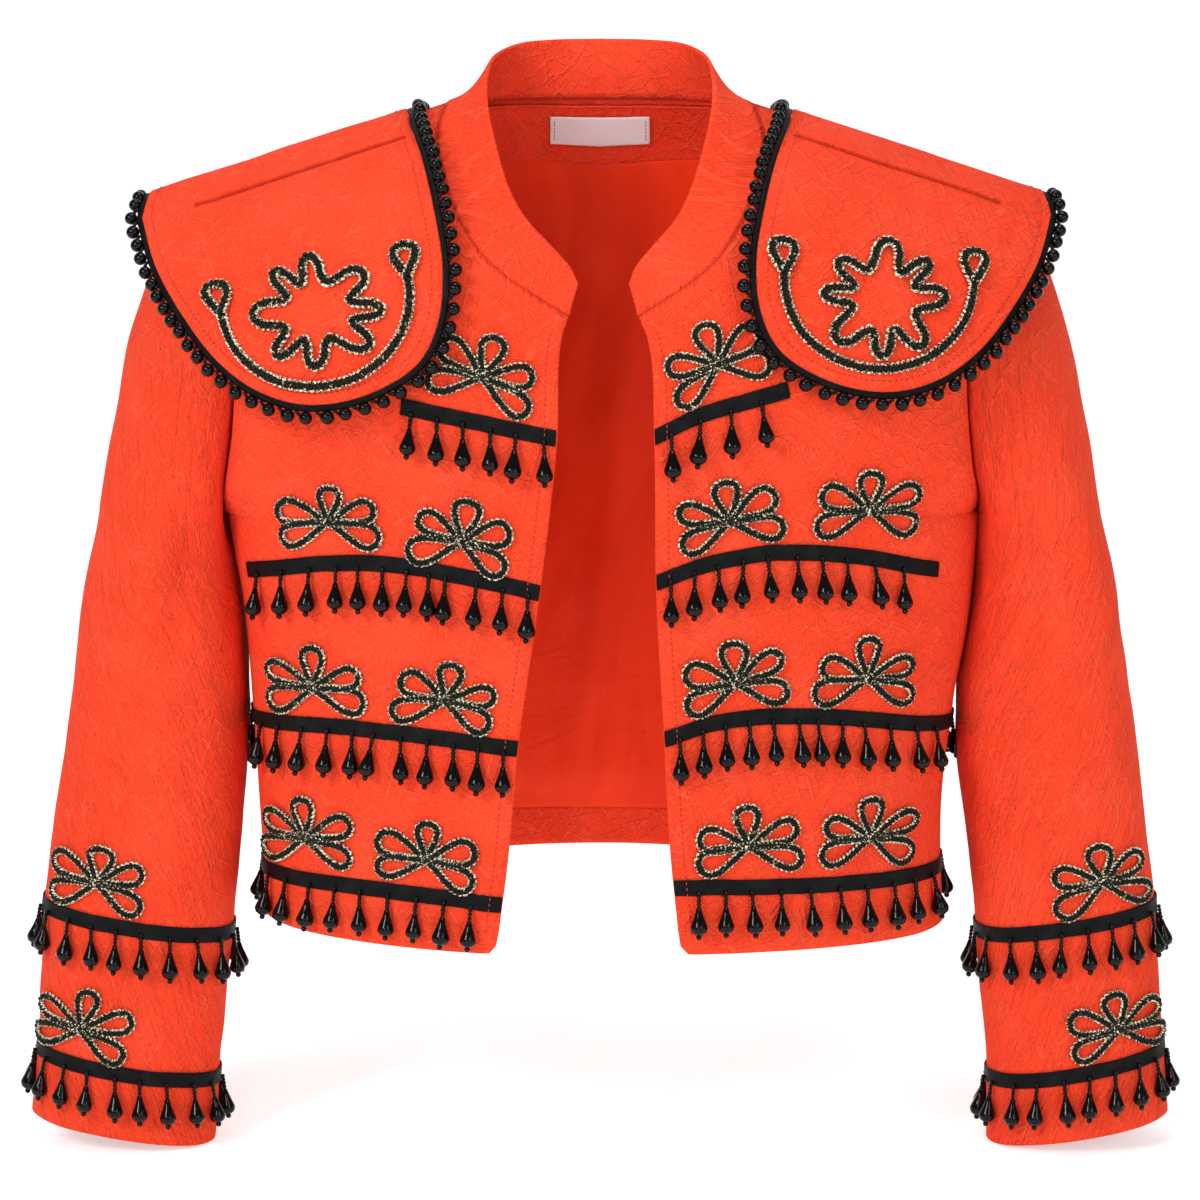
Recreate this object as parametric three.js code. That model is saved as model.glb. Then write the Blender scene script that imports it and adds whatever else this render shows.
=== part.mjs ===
/**
 * Matador jacket: an open-fronted cropped jacket held in its worn form.
 *
 * Millimetres, +Z up, the jacket faces -Y and the wearer's left is +X. The origin is the
 * point between the shoulders where the wearer carries it. Every cloth piece is a thin wall
 * over a grid of points; whatever is sewn on a piece is made from that piece's points,
 * moved out along its normals.
 */
import * as THREE from 'three';

// ---------------------------------------------------------------- driving sizes

const CLOTH = 1.6; // wall of the shell cloth
const STIFFENED = 2.4; // wall of the collar and the shoulder caps
const INNER_CLOTH = 1.0; // wall of lining and facings
const SEAM = 0.2; // what each piece gives up at a seam
const LIFT = 0.4; // air between a panel and a flat piece on it

const UNDERARM_Z = -236;
const SHOULDER_TIP = { out: 236, z: -43 };
const NECK_POINT = { out: 90, z: 5 };
const NECK_BOW = 32; // how far the back neck bows behind the shoulder seams, as a drop
const SHOULDER_FALL = 0.322; // drop of the shoulder seam per mm outwards
const ROUND_OVER = { over: 130, front: 0.8, back: 0.5 }; // drop over which the body rounds up
const ROW_EASE = 0.65; // how much the armhole rows crowd towards its two ends

const TAPE_WIDTH = 9.5;
const TAPE = 1.0;
const TAPE_END = 0.02; // columns between a tape's end and the panel's edge
const FRINGE = { gap: 0.4, lift: 0.2, reach: 26, depth: 7 }; // drops below a tape
const FRINGE_THIN = { by: 0.62, from: 178, until: 204 }; // the drops lie flatter at the sides
const BRAID = 3;
const BRAID_LIFT = { body: 2.3, sleeve: 3.6, cap: 3.6 }; // clears tapes and the facets below

const SIDES = [
  { name: 'right', way: -1, hemSide: -477, capDrop: 1, capOut: 1 },
  { name: 'left', way: 1, hemSide: -482, capDrop: 0.955, capOut: 0.985 },
];

// ---------------------------------------------------------------- tables

/** Half widths (wearer's right, left) and half depths (front, back) by height. */
const BODY = [
  { z: -486, right: 204, left: 208, front: 110, back: 105 },
  { z: -440, right: 204, left: 206, front: 110, back: 105 },
  { z: -395, right: 206, left: 207, front: 109, back: 104 },
  { z: -350, right: 209, left: 212, front: 108, back: 103 },
  { z: -300, right: 212, left: 220, front: 107, back: 103 },
  { z: -236, right: 221, left: 225, front: 109, back: 105 },
  { z: -160, right: 224, left: 228, front: 112, back: 108 },
  { z: -60, right: 224, left: 228, front: 110, back: 109 },
  { z: 30, right: 224, left: 228, front: 108, back: 109 },
];

/** Armhole from underarm to shoulder tip: distance out, and reach to the front and back. */
const ARMHOLE = [
  { z: UNDERARM_Z, out: 223, fore: 0, aft: 0 },
  { z: -224, out: 222, fore: 24, aft: 22 },
  { z: -206, out: 217, fore: 42, aft: 38 },
  { z: -171, out: 212, fore: 56, aft: 53 },
  { z: -130, out: 211, fore: 60, aft: 57 },
  { z: -95, out: 215, fore: 52, aft: 52 },
  { z: -66, out: 225, fore: 34, aft: 36 },
  { z: SHOULDER_TIP.z, out: SHOULDER_TIP.out, fore: 0, aft: 0 },
];

/** Front edge of each front, hem to collar: distance from the centre. */
const FRONT_EDGE = [
  { z: -482, right: 60.5, left: 47 },
  { z: -420, right: 52.7, left: 40.7 },
  { z: -362, right: 47.3, left: 37.4 },
  { z: -268, right: 34, left: 32.3 },
  { z: -185, right: 24.6, left: 31 },
  { z: -127, right: 21.9, left: 27 },
  { z: -115, right: 18, left: 22 },
];

/** Neck seam from its front end (0) to the shoulder seam (1): distance out and height. */
const NECK_SEAM = [
  { along: 0, out: 20, z: -115 },
  { along: 0.17, out: 40, z: -102.5 },
  { along: 0.33, out: 57, z: -90.5 },
  { along: 0.5, out: 71, z: -76.5 },
  { along: 0.67, out: 84, z: -56 },
  { along: 0.83, out: 92, z: -34 },
  { along: 0.94, out: 95.5, z: -12 },
  { along: 1, out: NECK_POINT.out, z: NECK_POINT.z },
];

/** Free edge of the stand collar from its front corner (0) to the centre back (1). */
const COLLAR_EDGE = [
  { along: 0, out: 15.5, deep: -107, z: -97 },
  { along: 0.06, out: 19, deep: -101, z: -88 },
  { along: 0.14, out: 29, deep: -93, z: -76.5 },
  { along: 0.24, out: 43, deep: -83, z: -61 },
  { along: 0.34, out: 53, deep: -70, z: -43 },
  { along: 0.45, out: 61, deep: -53, z: -19 },
  { along: 0.55, out: 66, deep: -31, z: 2 },
  { along: 0.64, out: 67, deep: -7, z: 20 },
  { along: 0.73, out: 63, deep: 16, z: 32 },
  { along: 0.82, out: 50, deep: 42, z: 39 },
  { along: 0.91, out: 27, deep: 57, z: 41.5 },
  { along: 1, out: 0, deep: 62, z: 42 },
];

/** Sleeve sections down the arm: outer side, inner side of each sleeve, half depth, tilt. */
const SLEEVE = [
  { z: -251, outer: 297.5, right: 218, left: 224.5, deep: 2, thick: 64, tilt: 22, square: 2.5 },
  { z: -291, outer: 307, right: 214, left: 221.5, deep: 3, thick: 59, tilt: 15, square: 2.7 },
  { z: -330, outer: 314, right: 212, left: 217, deep: 4, thick: 54, tilt: 12, square: 2.7 },
  { z: -367, outer: 320, right: 212.5, left: 215, deep: 4, thick: 49, tilt: 10, square: 2.6 },
  { z: -444, outer: 331.5, right: 219.5, left: 225, deep: 2, thick: 43, tilt: 9, square: 2.4 },
  { z: -505, outer: 337.5, right: 225.5, left: 231.5, deep: -1, thick: 39.5, tilt: 9.5, square: 2.3 },
  { z: -560, outer: 342, right: 232, left: 236, deep: -4, thick: 37, tilt: 10, square: 2.2 },
  { z: -612, outer: 346.5, right: 236.5, left: 237.5, deep: -6, thick: 36, tilt: 10, square: 2.2 },
];

/** Shoulder cap outline from its inner top end to its outer top end, as drop below the ridge. */
const CAP_OUTLINE = [
  { out: 111, drop: 9 },
  { out: 101, drop: 36 },
  { out: 93, drop: 68 },
  { out: 88.5, drop: 98 },
  { out: 91, drop: 127 },
  { out: 104, drop: 147 },
  { out: 133, drop: 154 },
  { out: 164, drop: 149 },
  { out: 192, drop: 133 },
  { out: 216, drop: 109 },
  { out: 238, drop: 77 },
  { out: 256, drop: 45 },
  { out: 267, drop: 14 },
];
const CAP_BINDING = { near: 1.2, far: 4.4, thickness: 3, out: 0.3 };
const CAP_BEADS = { near: 6.5, far: 12.2, thickness: 6.4, out: 3.6 };
const CAP_RIDGE = { inner: 115, outer: 264, z: 9, from: 90, fall: 0.322 };

/** Reach of the shoulder cap to the front and to the back, by distance out. */
const CAP_REACH = [
  { out: 80, fore: 119, aft: 118 },
  { out: 120, fore: 118, aft: 118 },
  { out: 160, fore: 115, aft: 114 },
  { out: 200, fore: 106, aft: 104 },
  { out: 235, fore: 91, aft: 89 },
  { out: 262, fore: 70, aft: 70 },
  { out: 275, fore: 60, aft: 60 },
];

/** Points along the middle of a tape, as pairs of distance out and height. */
const middles = (...pairs) => pairs.map(([out, z]) => ({ out, z }));

/** Tapes on the fronts: height of the tape's middle, by distance out. */
const FRONT_TAPES = {
  row1_right: { from: 25, to: 112, points: middles([25, -183.5], [73, -173.7], [113, -166]) },
  row1_left: { from: 31, to: 106, points: middles([31, -183], [58, -170.5], [108, -156]) },
  row2_right: {
    from: 34,
    to: 206,
    points: middles([34, -272], [74, -263.5], [114, -257.7], [155, -258], [207, -267]),
  },
  row2_left: {
    from: 32,
    to: 196,
    points: middles([32, -266], [57, -257], [91, -250.3], [131, -251], [196, -264.5]),
  },
};

/** Tapes that run round the body: height at the front edge, over the front, side and back. */
const ROUND_TAPES = {
  row3: {
    right: middles([47, -362], [97, -356.5], [150, -353.6], [209, -357]),
    left: middles([37, -356.3], [68, -347], [109, -344.7], [150, -349], [209, -360]),
    back: -352,
  },
  row4: {
    right: middles([57, -453], [98, -449], [145, -446.8], [204, -448]),
    left: middles([42, -442.7], [80, -443], [127, -444.8], [206, -447]),
    back: -430,
  },
};

/** Sleeve tapes, as height of the tape at the sleeve's centre line. */
const SLEEVE_TAPES = [
  { name: 'upper', z: -483 },
  { name: 'lower', z: -572 },
];

/** Rosettes on the fronts: centre, and turn in degrees. */
const ROSETTES = {
  right: [
    { name: 'row1', out: 66, z: -149, turn: -20 },
    { name: 'row2_outer', out: 155, z: -234, turn: 0 },
    { name: 'row2_inner', out: 78, z: -242.5, turn: -12 },
    { name: 'row3_outer', out: 165, z: -332, turn: 3 },
    { name: 'row3_inner', out: 88, z: -334.5, turn: -8 },
    { name: 'row4_outer', out: 171, z: -421.5, turn: 2 },
    { name: 'row4_inner', out: 99, z: -428, turn: -6 },
  ],
  left: [
    { name: 'row1', out: 66, z: -142, turn: 20 },
    { name: 'row2_outer', out: 153, z: -226, turn: -4 },
    { name: 'row2_inner', out: 73, z: -231, turn: 10 },
    { name: 'row3_outer', out: 153, z: -325, turn: -4 },
    { name: 'row3_inner', out: 77, z: -324.5, turn: 8 },
    { name: 'row4_outer', out: 156, z: -419, turn: -3 },
    { name: 'row4_inner', out: 85, z: -419, turn: 4 },
  ],
};
const SLEEVE_ROSETTES = [
  { name: 'upper', out: 298.5, z: -455, turn: -9 },
  { name: 'lower', out: 310, z: -545, turn: -11 },
];

/** The five loops of a rosette: direction in degrees and length. */
const LOOPS = [
  { at: -30, long: 26 },
  { at: 22, long: 25 },
  { at: 90, long: 23 },
  { at: 158, long: 25 },
  { at: 210, long: 26 },
];
const LOOP_HALF_WIDTH = 7.2;
const LOOP = {
  wide: 0.62,
  tip: 0.95,
  tipWide: 0.55,
  root: 8.2,
  rootLow: 5,
  eyeFrom: 0.42,
  eyeWide: 0.68,
  eyeTip: 1.1,
};
const BRAID_WIDTH = 4.6;

const STAR = {
  out: 158,
  right: -113,
  left: -106,
  radius: 32,
  wave: 6,
  lobes: 8,
  squash: 0.84,
  braids: 1.6,
};
const ARC = {
  wide: 54,
  tall: 58,
  sweep: [1.02, 1.98],
  end: 7,
  endTall: 1.7,
  endPast: 0.3,
  right: { out: 161, z: -98, turn: 12 },
  left: { out: 157, z: -88, turn: -4 },
};

const LABEL_WIDTH = 62;
const LABEL_AIR = 0.9;
const INNER_AIR = 1.2;
/** Heights of what is sewn inside the back, and how far pieces keep from edges, in grid lines. */
const INSIDE = {
  hemTop: -438,
  facingLow: -31,
  labelLow: -20.5,
  labelTop: -3,
  gap: 0.015,
  hemLow: 0.04,
  hemIn: 0.15,
  neckIn: 1.06,
};

const FRONT_ROWS = { side: 7, arm: 9, columns: 12 };
const BACK_COLUMNS = { shoulder: 4, neck: 6 };
const SLEEVE_ROWS = 15;
const CAP_GRID = { columns: 16, front: 5, back: 5, seam: 0.24 };
const CAP_ROUND = { over: 125, front: 0.6, back: 0.46, fan: 1.6 };
const SLEEVE_HEAD = {
  rows: 5,
  fallTop: 34,
  fallUnder: 62,
  fore: 0.55,
  leave: 0.6,
  arrive: 0.7,
  lean: 0.12,
};
const BACK_FAN = { neckShare: 0.43, from: 0.62, bow: 1.4 }; // where rows start to follow the neck
const COLLAR_ROWS = 3;
const CORNER_SHARE = 3; // the front third of the collar takes up the shift of its corner

const FINISH = {
  shell: { color: 0xe8412b, roughness: 0.85 },
  lining: { color: 0xc93420, roughness: 0.5 },
  tape: { color: 0x15171a, roughness: 0.6 },
  beads: { color: 0x0a0a0b, roughness: 0.15 },
  braid: { color: 0x33331f, roughness: 0.7 },
  label: { color: 0xe9e6e2, roughness: 0.8 },
};

// ---------------------------------------------------------------- curves and grids

const lerp = THREE.MathUtils.lerp;
const clamp = THREE.MathUtils.clamp;
const smoothstep = THREE.MathUtils.smoothstep;
const vec = (x, y, z) => new THREE.Vector3(x, y, z);

/** Smooth reading of one column of a table, by Hermite pieces with averaged slopes. */
function read(table, key, column, at) {
  const rising = table[table.length - 1][key] > table[0][key];
  const rows = rising ? table : [...table].reverse();
  const last = rows.length - 1;
  const x = clamp(at, rows[0][key], rows[last][key]);
  let i = 0;
  while (i < last - 1 && rows[i + 1][key] < x) i += 1;
  const rise = (j) => (rows[j + 1][column] - rows[j][column]) / (rows[j + 1][key] - rows[j][key]);
  const slope = (j) => (j === 0 ? rise(0) : j === last ? rise(last - 1) : (rise(j - 1) + rise(j)) / 2);
  const span = rows[i + 1][key] - rows[i][key];
  const t = (x - rows[i][key]) / span;
  const t2 = t * t;
  const t3 = t2 * t;
  return (
    (2 * t3 - 3 * t2 + 1) * rows[i][column] +
    (t3 - 2 * t2 + t) * span * slope(i) +
    (3 * t2 - 2 * t3) * rows[i + 1][column] +
    (t3 - t2) * span * slope(i + 1)
  );
}

/** Numbers from a to b in even steps, both ends included. */
const steps = (a, b, count) => Array.from({ length: count + 1 }, (_, i) => lerp(a, b, i / count));

/**
 * A sewn piece before it has thickness: a grid of points and their outward normals.
 * ring says that the columns close on themselves; turned says that rows and columns run
 * the left-handed way round.
 */
class Panel {
  constructor(grid, { ring = false, turned = false } = {}) {
    this.grid = grid;
    this.ring = ring;
    this.turned = turned;
    this.rows = grid.length;
    this.columns = grid[0].length;
    this.normals = grid.map((row, r) => row.map((_, c) => this.normalAt(r, c)));
  }

  column(c) {
    return this.ring ? (c + this.columns) % this.columns : clamp(c, 0, this.columns - 1);
  }

  normalAt(r, c) {
    const up = this.grid[Math.min(r + 1, this.rows - 1)][c].clone().sub(this.grid[Math.max(r - 1, 0)][c]);
    const across = this.grid[r][this.column(c + 1)].clone().sub(this.grid[r][this.column(c - 1)]);
    return across.cross(up).normalize().multiplyScalar(this.turned ? -1 : 1);
  }

  /** The point at a fractional row and column, moved out by a distance. */
  at(r, c, out = 0) {
    const r0 = clamp(Math.floor(r), 0, this.rows - 2);
    const c0 = this.ring ? Math.floor(c) : clamp(Math.floor(c), 0, this.columns - 2);
    const across = (field, row) =>
      field[row][this.column(c0)].clone().lerp(field[row][this.column(c0 + 1)], c - c0);
    const mix = (field) => across(field, r0).lerp(across(field, r0 + 1), r - r0);
    return mix(this.grid).addScaledVector(mix(this.normals).normalize(), out);
  }

  /** The fractional row at which a column passes a height, or runs on past its end to it. */
  rowAt(c, z) {
    const levels = this.grid.map((_, r) => this.at(r, c).z);
    const last = this.rows - 1;
    let best = last - 1;
    for (let r = 0; r < last; r += 1) {
      if ((z - levels[r]) * (z - levels[r + 1]) <= 0) best = r;
    }
    const rising = levels[0] < levels[last];
    if (z < Math.min(levels[0], levels[last])) best = rising ? 0 : last - 1;
    return best + (z - levels[best]) / (levels[best + 1] - levels[best]);
  }

  /** Row and column of the point that shows at a given x and z, found by Newton steps. */
  locate(x, z, from, until) {
    let r = this.rows / 2;
    let c = (from + until) / 2;
    const h = 0.01;
    for (let i = 0; i < 60; i += 1) {
      const p = this.at(r, c);
      const dr = this.at(r + h, c).sub(p).divideScalar(h);
      const dc = this.at(r, c + h).sub(p).divideScalar(h);
      const det = dr.x * dc.z - dc.x * dr.z;
      const ex = x - p.x;
      const ez = z - p.z;
      r = clamp(r + clamp((ex * dc.z - dc.x * ez) / det, -1, 1), -0.5, this.rows - 0.5);
      c = clamp(c + clamp((dr.x * ez - ex * dr.z) / det, -1, 1), from - 0.3, until + 0.3);
    }
    return { r, c };
  }

  /** The grid with each named edge pulled in by its allowance. */
  trimmed(edges) {
    const grid = this.grid.map((row) => row.map((p) => p.clone()));
    const pull = (r, c, r2, c2, by) => {
      const way = this.grid[r2][c2].clone().sub(this.grid[r][c]);
      way.addScaledVector(this.normals[r][c], -way.dot(this.normals[r][c]));
      grid[r][c].addScaledVector(way, by / way.length());
    };
    const lastR = this.rows - 1;
    const lastC = this.columns - 1;
    for (let c = 0; c <= lastC; c += 1) {
      if (edges.bottom) pull(0, c, 1, c, edges.bottom);
      if (edges.top) pull(lastR, c, lastR - 1, c, edges.top);
    }
    for (let r = 0; r <= lastR; r += 1) {
      if (edges.start) pull(r, 0, r, 1, edges.start);
      if (edges.end) pull(r, lastC, r, lastC - 1, edges.end);
    }
    return grid;
  }

  /** Closed wall of the given thickness, inwards from the panel. */
  wall(thickness, edges) {
    const grid = this.trimmed(edges);
    const moved = (by) =>
      grid.map((row, r) => row.map((p, c) => p.clone().addScaledVector(this.normals[r][c], by)));
    return closedWall(grid, moved(-thickness), this.ring, this.turned);
  }
}

/** Triangles of a wall between two grids of the same size. */
function closedWall(outer, inner, ring, turned) {
  const rows = outer.length;
  const columns = outer[0].length;
  const positions = [...outer.flat(), ...inner.flat()].flatMap((p) => [p.x, p.y, p.z]);
  const O = (r, c) => r * columns + (c % columns);
  const I = (r, c) => rows * columns + O(r, c);
  const index = [];
  const quad = (a, b, c, d) => index.push(...(turned ? [a, c, b, a, d, c] : [a, b, c, a, c, d]));
  const spans = ring ? columns : columns - 1;
  for (let r = 0; r < rows - 1; r += 1) {
    for (let c = 0; c < spans; c += 1) {
      quad(O(r, c), O(r, c + 1), O(r + 1, c + 1), O(r + 1, c));
      quad(I(r, c), I(r + 1, c), I(r + 1, c + 1), I(r, c + 1));
    }
  }
  for (let c = 0; c < spans; c += 1) {
    quad(O(0, c + 1), O(0, c), I(0, c), I(0, c + 1));
    quad(O(rows - 1, c), O(rows - 1, c + 1), I(rows - 1, c + 1), I(rows - 1, c));
  }
  if (!ring) {
    for (let r = 0; r < rows - 1; r += 1) {
      quad(O(r, 0), O(r + 1, 0), I(r + 1, 0), I(r, 0));
      quad(O(r + 1, columns - 1), O(r, columns - 1), I(r, columns - 1), I(r + 1, columns - 1));
    }
  }
  const geometry = new THREE.BufferGeometry();
  geometry.setAttribute('position', new THREE.Float32BufferAttribute(positions, 3));
  geometry.setIndex(index);
  return geometry;
}

const SAME_WAY = 0.3; // least cosine between normals that are still shared at a seam

/** Gives points that meet at a seam one shared normal, where they face much the same way. */
function shareNormals(...corners) {
  const sum = vec(0, 0, 0);
  for (const [panel, r, c] of corners) sum.add(panel.normals[r][c]);
  sum.normalize();
  if (corners.every(([panel, r, c]) => panel.normals[r][c].dot(sum) > SAME_WAY)) {
    for (const [panel, r, c] of corners) panel.normals[r][c] = sum.clone();
  }
}

const group = new THREE.Group();
group.name = 'matador_jacket';

/** Adds a named piece in its finish. */
function add(name, geometry, finish) {
  const material = new THREE.MeshStandardMaterial({ metalness: 0, ...FINISH[finish] });
  const mesh = new THREE.Mesh(geometry, material);
  mesh.name = name;
  group.add(mesh);
}

// ---------------------------------------------------------------- body

const ridgeZ = (out) => NECK_POINT.z - SHOULDER_FALL * (out - NECK_POINT.out);

/** How far the body has rounded away below a ridge: 0 on it, 1 well below. */
const rounded = (ridge, z, power) =>
  Math.sin((clamp((ridge - z) / ROUND_OVER.over, 0, 1) * Math.PI) / 2) ** power;

/** The ridge of the back, where the neck seam bows back between the shoulder seams. */
function backRidgeZ(out) {
  const bow = NECK_BOW * (1 - (out / NECK_POINT.out) ** 2);
  return out < NECK_POINT.out ? NECK_POINT.z + bow : ridgeZ(out);
}

const BULGE_X = 0.9;
const BULGE_Y = 0.86;

/** A row of a front between two edge points, rounded as a quarter of the body's section. */
function bodyRow(inner, outer, way, turns) {
  const start = Math.asin((inner.out / outer.out) ** (1 / BULGE_X));
  return turns.map((q) => {
    const turn = lerp(start, Math.PI / 2, q);
    const out = outer.out * Math.sin(turn) ** BULGE_X;
    const share = (out - inner.out) / (outer.out - inner.out);
    const z = lerp(inner.z, outer.z, share);
    const depth = read(BODY, 'z', 'front', z) * rounded(ridgeZ(out), z, ROUND_OVER.front);
    return vec(way * out, -outer.reach - (depth - outer.reach) * Math.cos(turn) ** BULGE_Y, z);
  });
}

/** Rows shared by fronts, back and sleeve: side seam rows, then armhole rows to the shoulder. */
const armTurns = steps(0, 1, FRONT_ROWS.arm).slice(1);
const armZ = armTurns.map((t) => {
  const eased = (1 - Math.cos(t * Math.PI)) / 2;
  return lerp(UNDERARM_Z, SHOULDER_TIP.z, lerp(t, eased, ROW_EASE));
});

function outerEdge(side, face) {
  const sideRows = steps(side.hemSide, UNDERARM_Z, FRONT_ROWS.side).map((z) => ({
    out: read(BODY, 'z', side.name, z),
    z,
    reach: 0,
  }));
  const armRows = armZ.map((z) => ({
    out: read(ARMHOLE, 'z', 'out', z),
    z,
    reach: read(ARMHOLE, 'z', face === 'front' ? 'fore' : 'aft', z),
  }));
  return [...sideRows, ...armRows];
}

const FRONT_HEM = -482;
const NECK_ROWS = 6;

function frontInnerEdge(side) {
  const total = FRONT_ROWS.side + FRONT_ROWS.arm - NECK_ROWS;
  const levels = steps(FRONT_HEM, NECK_SEAM[0].z, total);
  const edge = levels.map((z) => ({ out: read(FRONT_EDGE, 'z', side.name, z), z }));
  const shift = edge[total].out - NECK_SEAM[0].out;
  const neck = steps(0, 1, NECK_ROWS)
    .slice(1)
    .map((t) => ({
      out: read(NECK_SEAM, 'along', 'out', t) + shift * (1 - t),
      z: read(NECK_SEAM, 'along', 'z', t),
    }));
  return [...edge, ...neck];
}

function frontPanel(side) {
  const inner = frontInnerEdge(side);
  const outer = outerEdge(side, 'front');
  const turns = steps(0, 1, FRONT_ROWS.columns);
  const grid = inner.map((edge, r) => bodyRow(edge, outer[r], side.way, turns));
  return new Panel(grid, { turned: side.way < 0 });
}

const BACK_HEM = -461.5;
const BACK_NECK_Z = 8;
const backNeckZ = (out) => lerp(BACK_NECK_Z, NECK_POINT.z, (out / NECK_POINT.out) ** 3);

/** Half of a back row: from the centre back out to the side, by way of the neck point. */
function backHalfRow(r, side) {
  const outer = outerEdge(side, 'back')[r];
  const t = r / (FRONT_ROWS.side + FRONT_ROWS.arm);
  const neckSteps = steps(0, 1, BACK_COLUMNS.neck / 2);
  const shoulderSteps = steps(0, 1, BACK_COLUMNS.shoulder).slice(1);
  const centre = { out: 0, z: lerp(BACK_HEM, BACK_NECK_Z, t) };
  const neckOut = lerp(outer.out * BACK_FAN.neckShare, NECK_POINT.out, t);
  const rise = Math.max(0, t - BACK_FAN.from) / (1 - BACK_FAN.from);
  const outs = [
    ...neckSteps.map((s) => s * neckOut),
    ...shoulderSteps.map((s) => lerp(neckOut, outer.out, Math.sin((s * Math.PI) / 2))),
  ];
  return outs.map((out) => {
    const share = out / outer.out;
    const level = lerp(centre.z, outer.z, share ** 2);
    const onRidge = out <= NECK_POINT.out ? backNeckZ(out) : ridgeZ(out);
    const overChord = onRidge - lerp(BACK_NECK_Z, SHOULDER_TIP.z, share);
    const raised = lerp(centre.z, outer.z, share) + overChord;
    const z = out === outer.out ? outer.z : lerp(level, raised, rise);
    const turn = Math.asin(Math.min(1, share) ** (1 / BULGE_X));
    const depth = read(BODY, 'z', 'back', z) * rounded(backRidgeZ(out), z, ROUND_OVER.back);
    const y = outer.reach + (depth - outer.reach) * Math.cos(turn) ** BULGE_Y;
    return vec(side.way * out, y, z);
  });
}

function backPanel() {
  const rows = FRONT_ROWS.side + FRONT_ROWS.arm + 1;
  const grid = Array.from({ length: rows }, (_, r) => {
    const right = backHalfRow(r, SIDES[0]);
    const left = backHalfRow(r, SIDES[1]);
    return [...right.reverse(), ...left.slice(1)];
  });
  return new Panel(grid, { turned: true });
}

// ---------------------------------------------------------------- sleeve

/** A sleeve section: from the outer side round by the front, the inner side and the back. */
function sleeveRing(row, side, columns) {
  const tilt = THREE.MathUtils.degToRad(row.tilt);
  const power = 2 / row.square;
  const middle = (row.outer + row[side.name]) / 2;
  const half = (row.outer - row[side.name]) / 2;
  return Array.from({ length: columns }, (_, k) => {
    const turn = (2 * Math.PI * k) / columns;
    const wide = Math.sign(Math.cos(turn)) * Math.abs(Math.cos(turn)) ** power * half;
    const thick = Math.sign(Math.sin(turn)) * Math.abs(Math.sin(turn)) ** power * row.thick;
    return vec(side.way * (middle + wide), row.deep - thick, row.z + wide * Math.tan(tilt));
  });
}

/** A point of the sleeve head, on the curve that leaves the armhole and arrives down the arm. */
function sleeveHeadPoint(from, to, t, turn, way) {
  const reach = from.distanceTo(to);
  const high = (1 + Math.cos(turn)) / 2;
  const fall = THREE.MathUtils.degToRad(lerp(SLEEVE_HEAD.fallUnder, SLEEVE_HEAD.fallTop, high));
  const leave = vec(way * Math.cos(fall), -SLEEVE_HEAD.fore * Math.sin(turn), -Math.sin(fall));
  const arrive = vec(way * SLEEVE_HEAD.lean, 0, -1);
  leave.setLength(reach * SLEEVE_HEAD.leave);
  arrive.setLength(reach * SLEEVE_HEAD.arrive);
  const t2 = t * t;
  const t3 = t2 * t;
  return from
    .clone()
    .multiplyScalar(2 * t3 - 3 * t2 + 1)
    .addScaledVector(leave, t3 - 2 * t2 + t)
    .addScaledVector(to, 3 * t2 - 2 * t3)
    .addScaledVector(arrive, t3 - t2);
}

/** The sleeve: a head from the armhole to the upper arm, then sections down to the cuff. */
function sleevePanel(side, front, back) {
  const top = FRONT_ROWS.side + FRONT_ROWS.arm;
  const frontEnd = front.columns - 1;
  const backEnd = side.way > 0 ? back.columns - 1 : 0;
  const armhole = [];
  for (let r = top; r >= FRONT_ROWS.side; r -= 1) armhole.push([front, r, frontEnd]);
  for (let r = FRONT_ROWS.side + 1; r < top; r += 1) armhole.push([back, r, backEnd]);
  const loop = armhole.map(([panel, r, c]) => panel.grid[r][c].clone());
  const columns = loop.length;
  const upper = sleeveRing(SLEEVE[0], side, columns);
  const turnOf = (k) => (2 * Math.PI * k) / columns;
  const head = steps(0, 1, SLEEVE_HEAD.rows)
    .slice(0, -1)
    .map((t) => loop.map((from, k) => sleeveHeadPoint(from, upper[k], t, turnOf(k), side.way)));
  const keys = ['outer', side.name, 'deep', 'thick', 'tilt', 'square'];
  const levels = steps(SLEEVE[0].z, SLEEVE[SLEEVE.length - 1].z, SLEEVE_ROWS - SLEEVE_HEAD.rows);
  const arm = levels.map((z) => {
    const row = Object.fromEntries(keys.map((key) => [key, read(SLEEVE, 'z', key, z)]));
    return sleeveRing({ ...row, z }, side, columns);
  });
  const sleeve = new Panel([...head, ...arm], { ring: true, turned: side.way < 0 });
  const underarm = armhole.findIndex(([panel, r]) => panel === front && r === FRONT_ROWS.side);
  armhole.forEach(([panel, r, c], k) => {
    const meeting = [[sleeve, 0, k], [panel, r, c]];
    if (k === 0 || k === underarm) meeting.push([back, r, backEnd]);
    shareNormals(...meeting);
  });
  return sleeve;
}

// ---------------------------------------------------------------- collar

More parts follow.
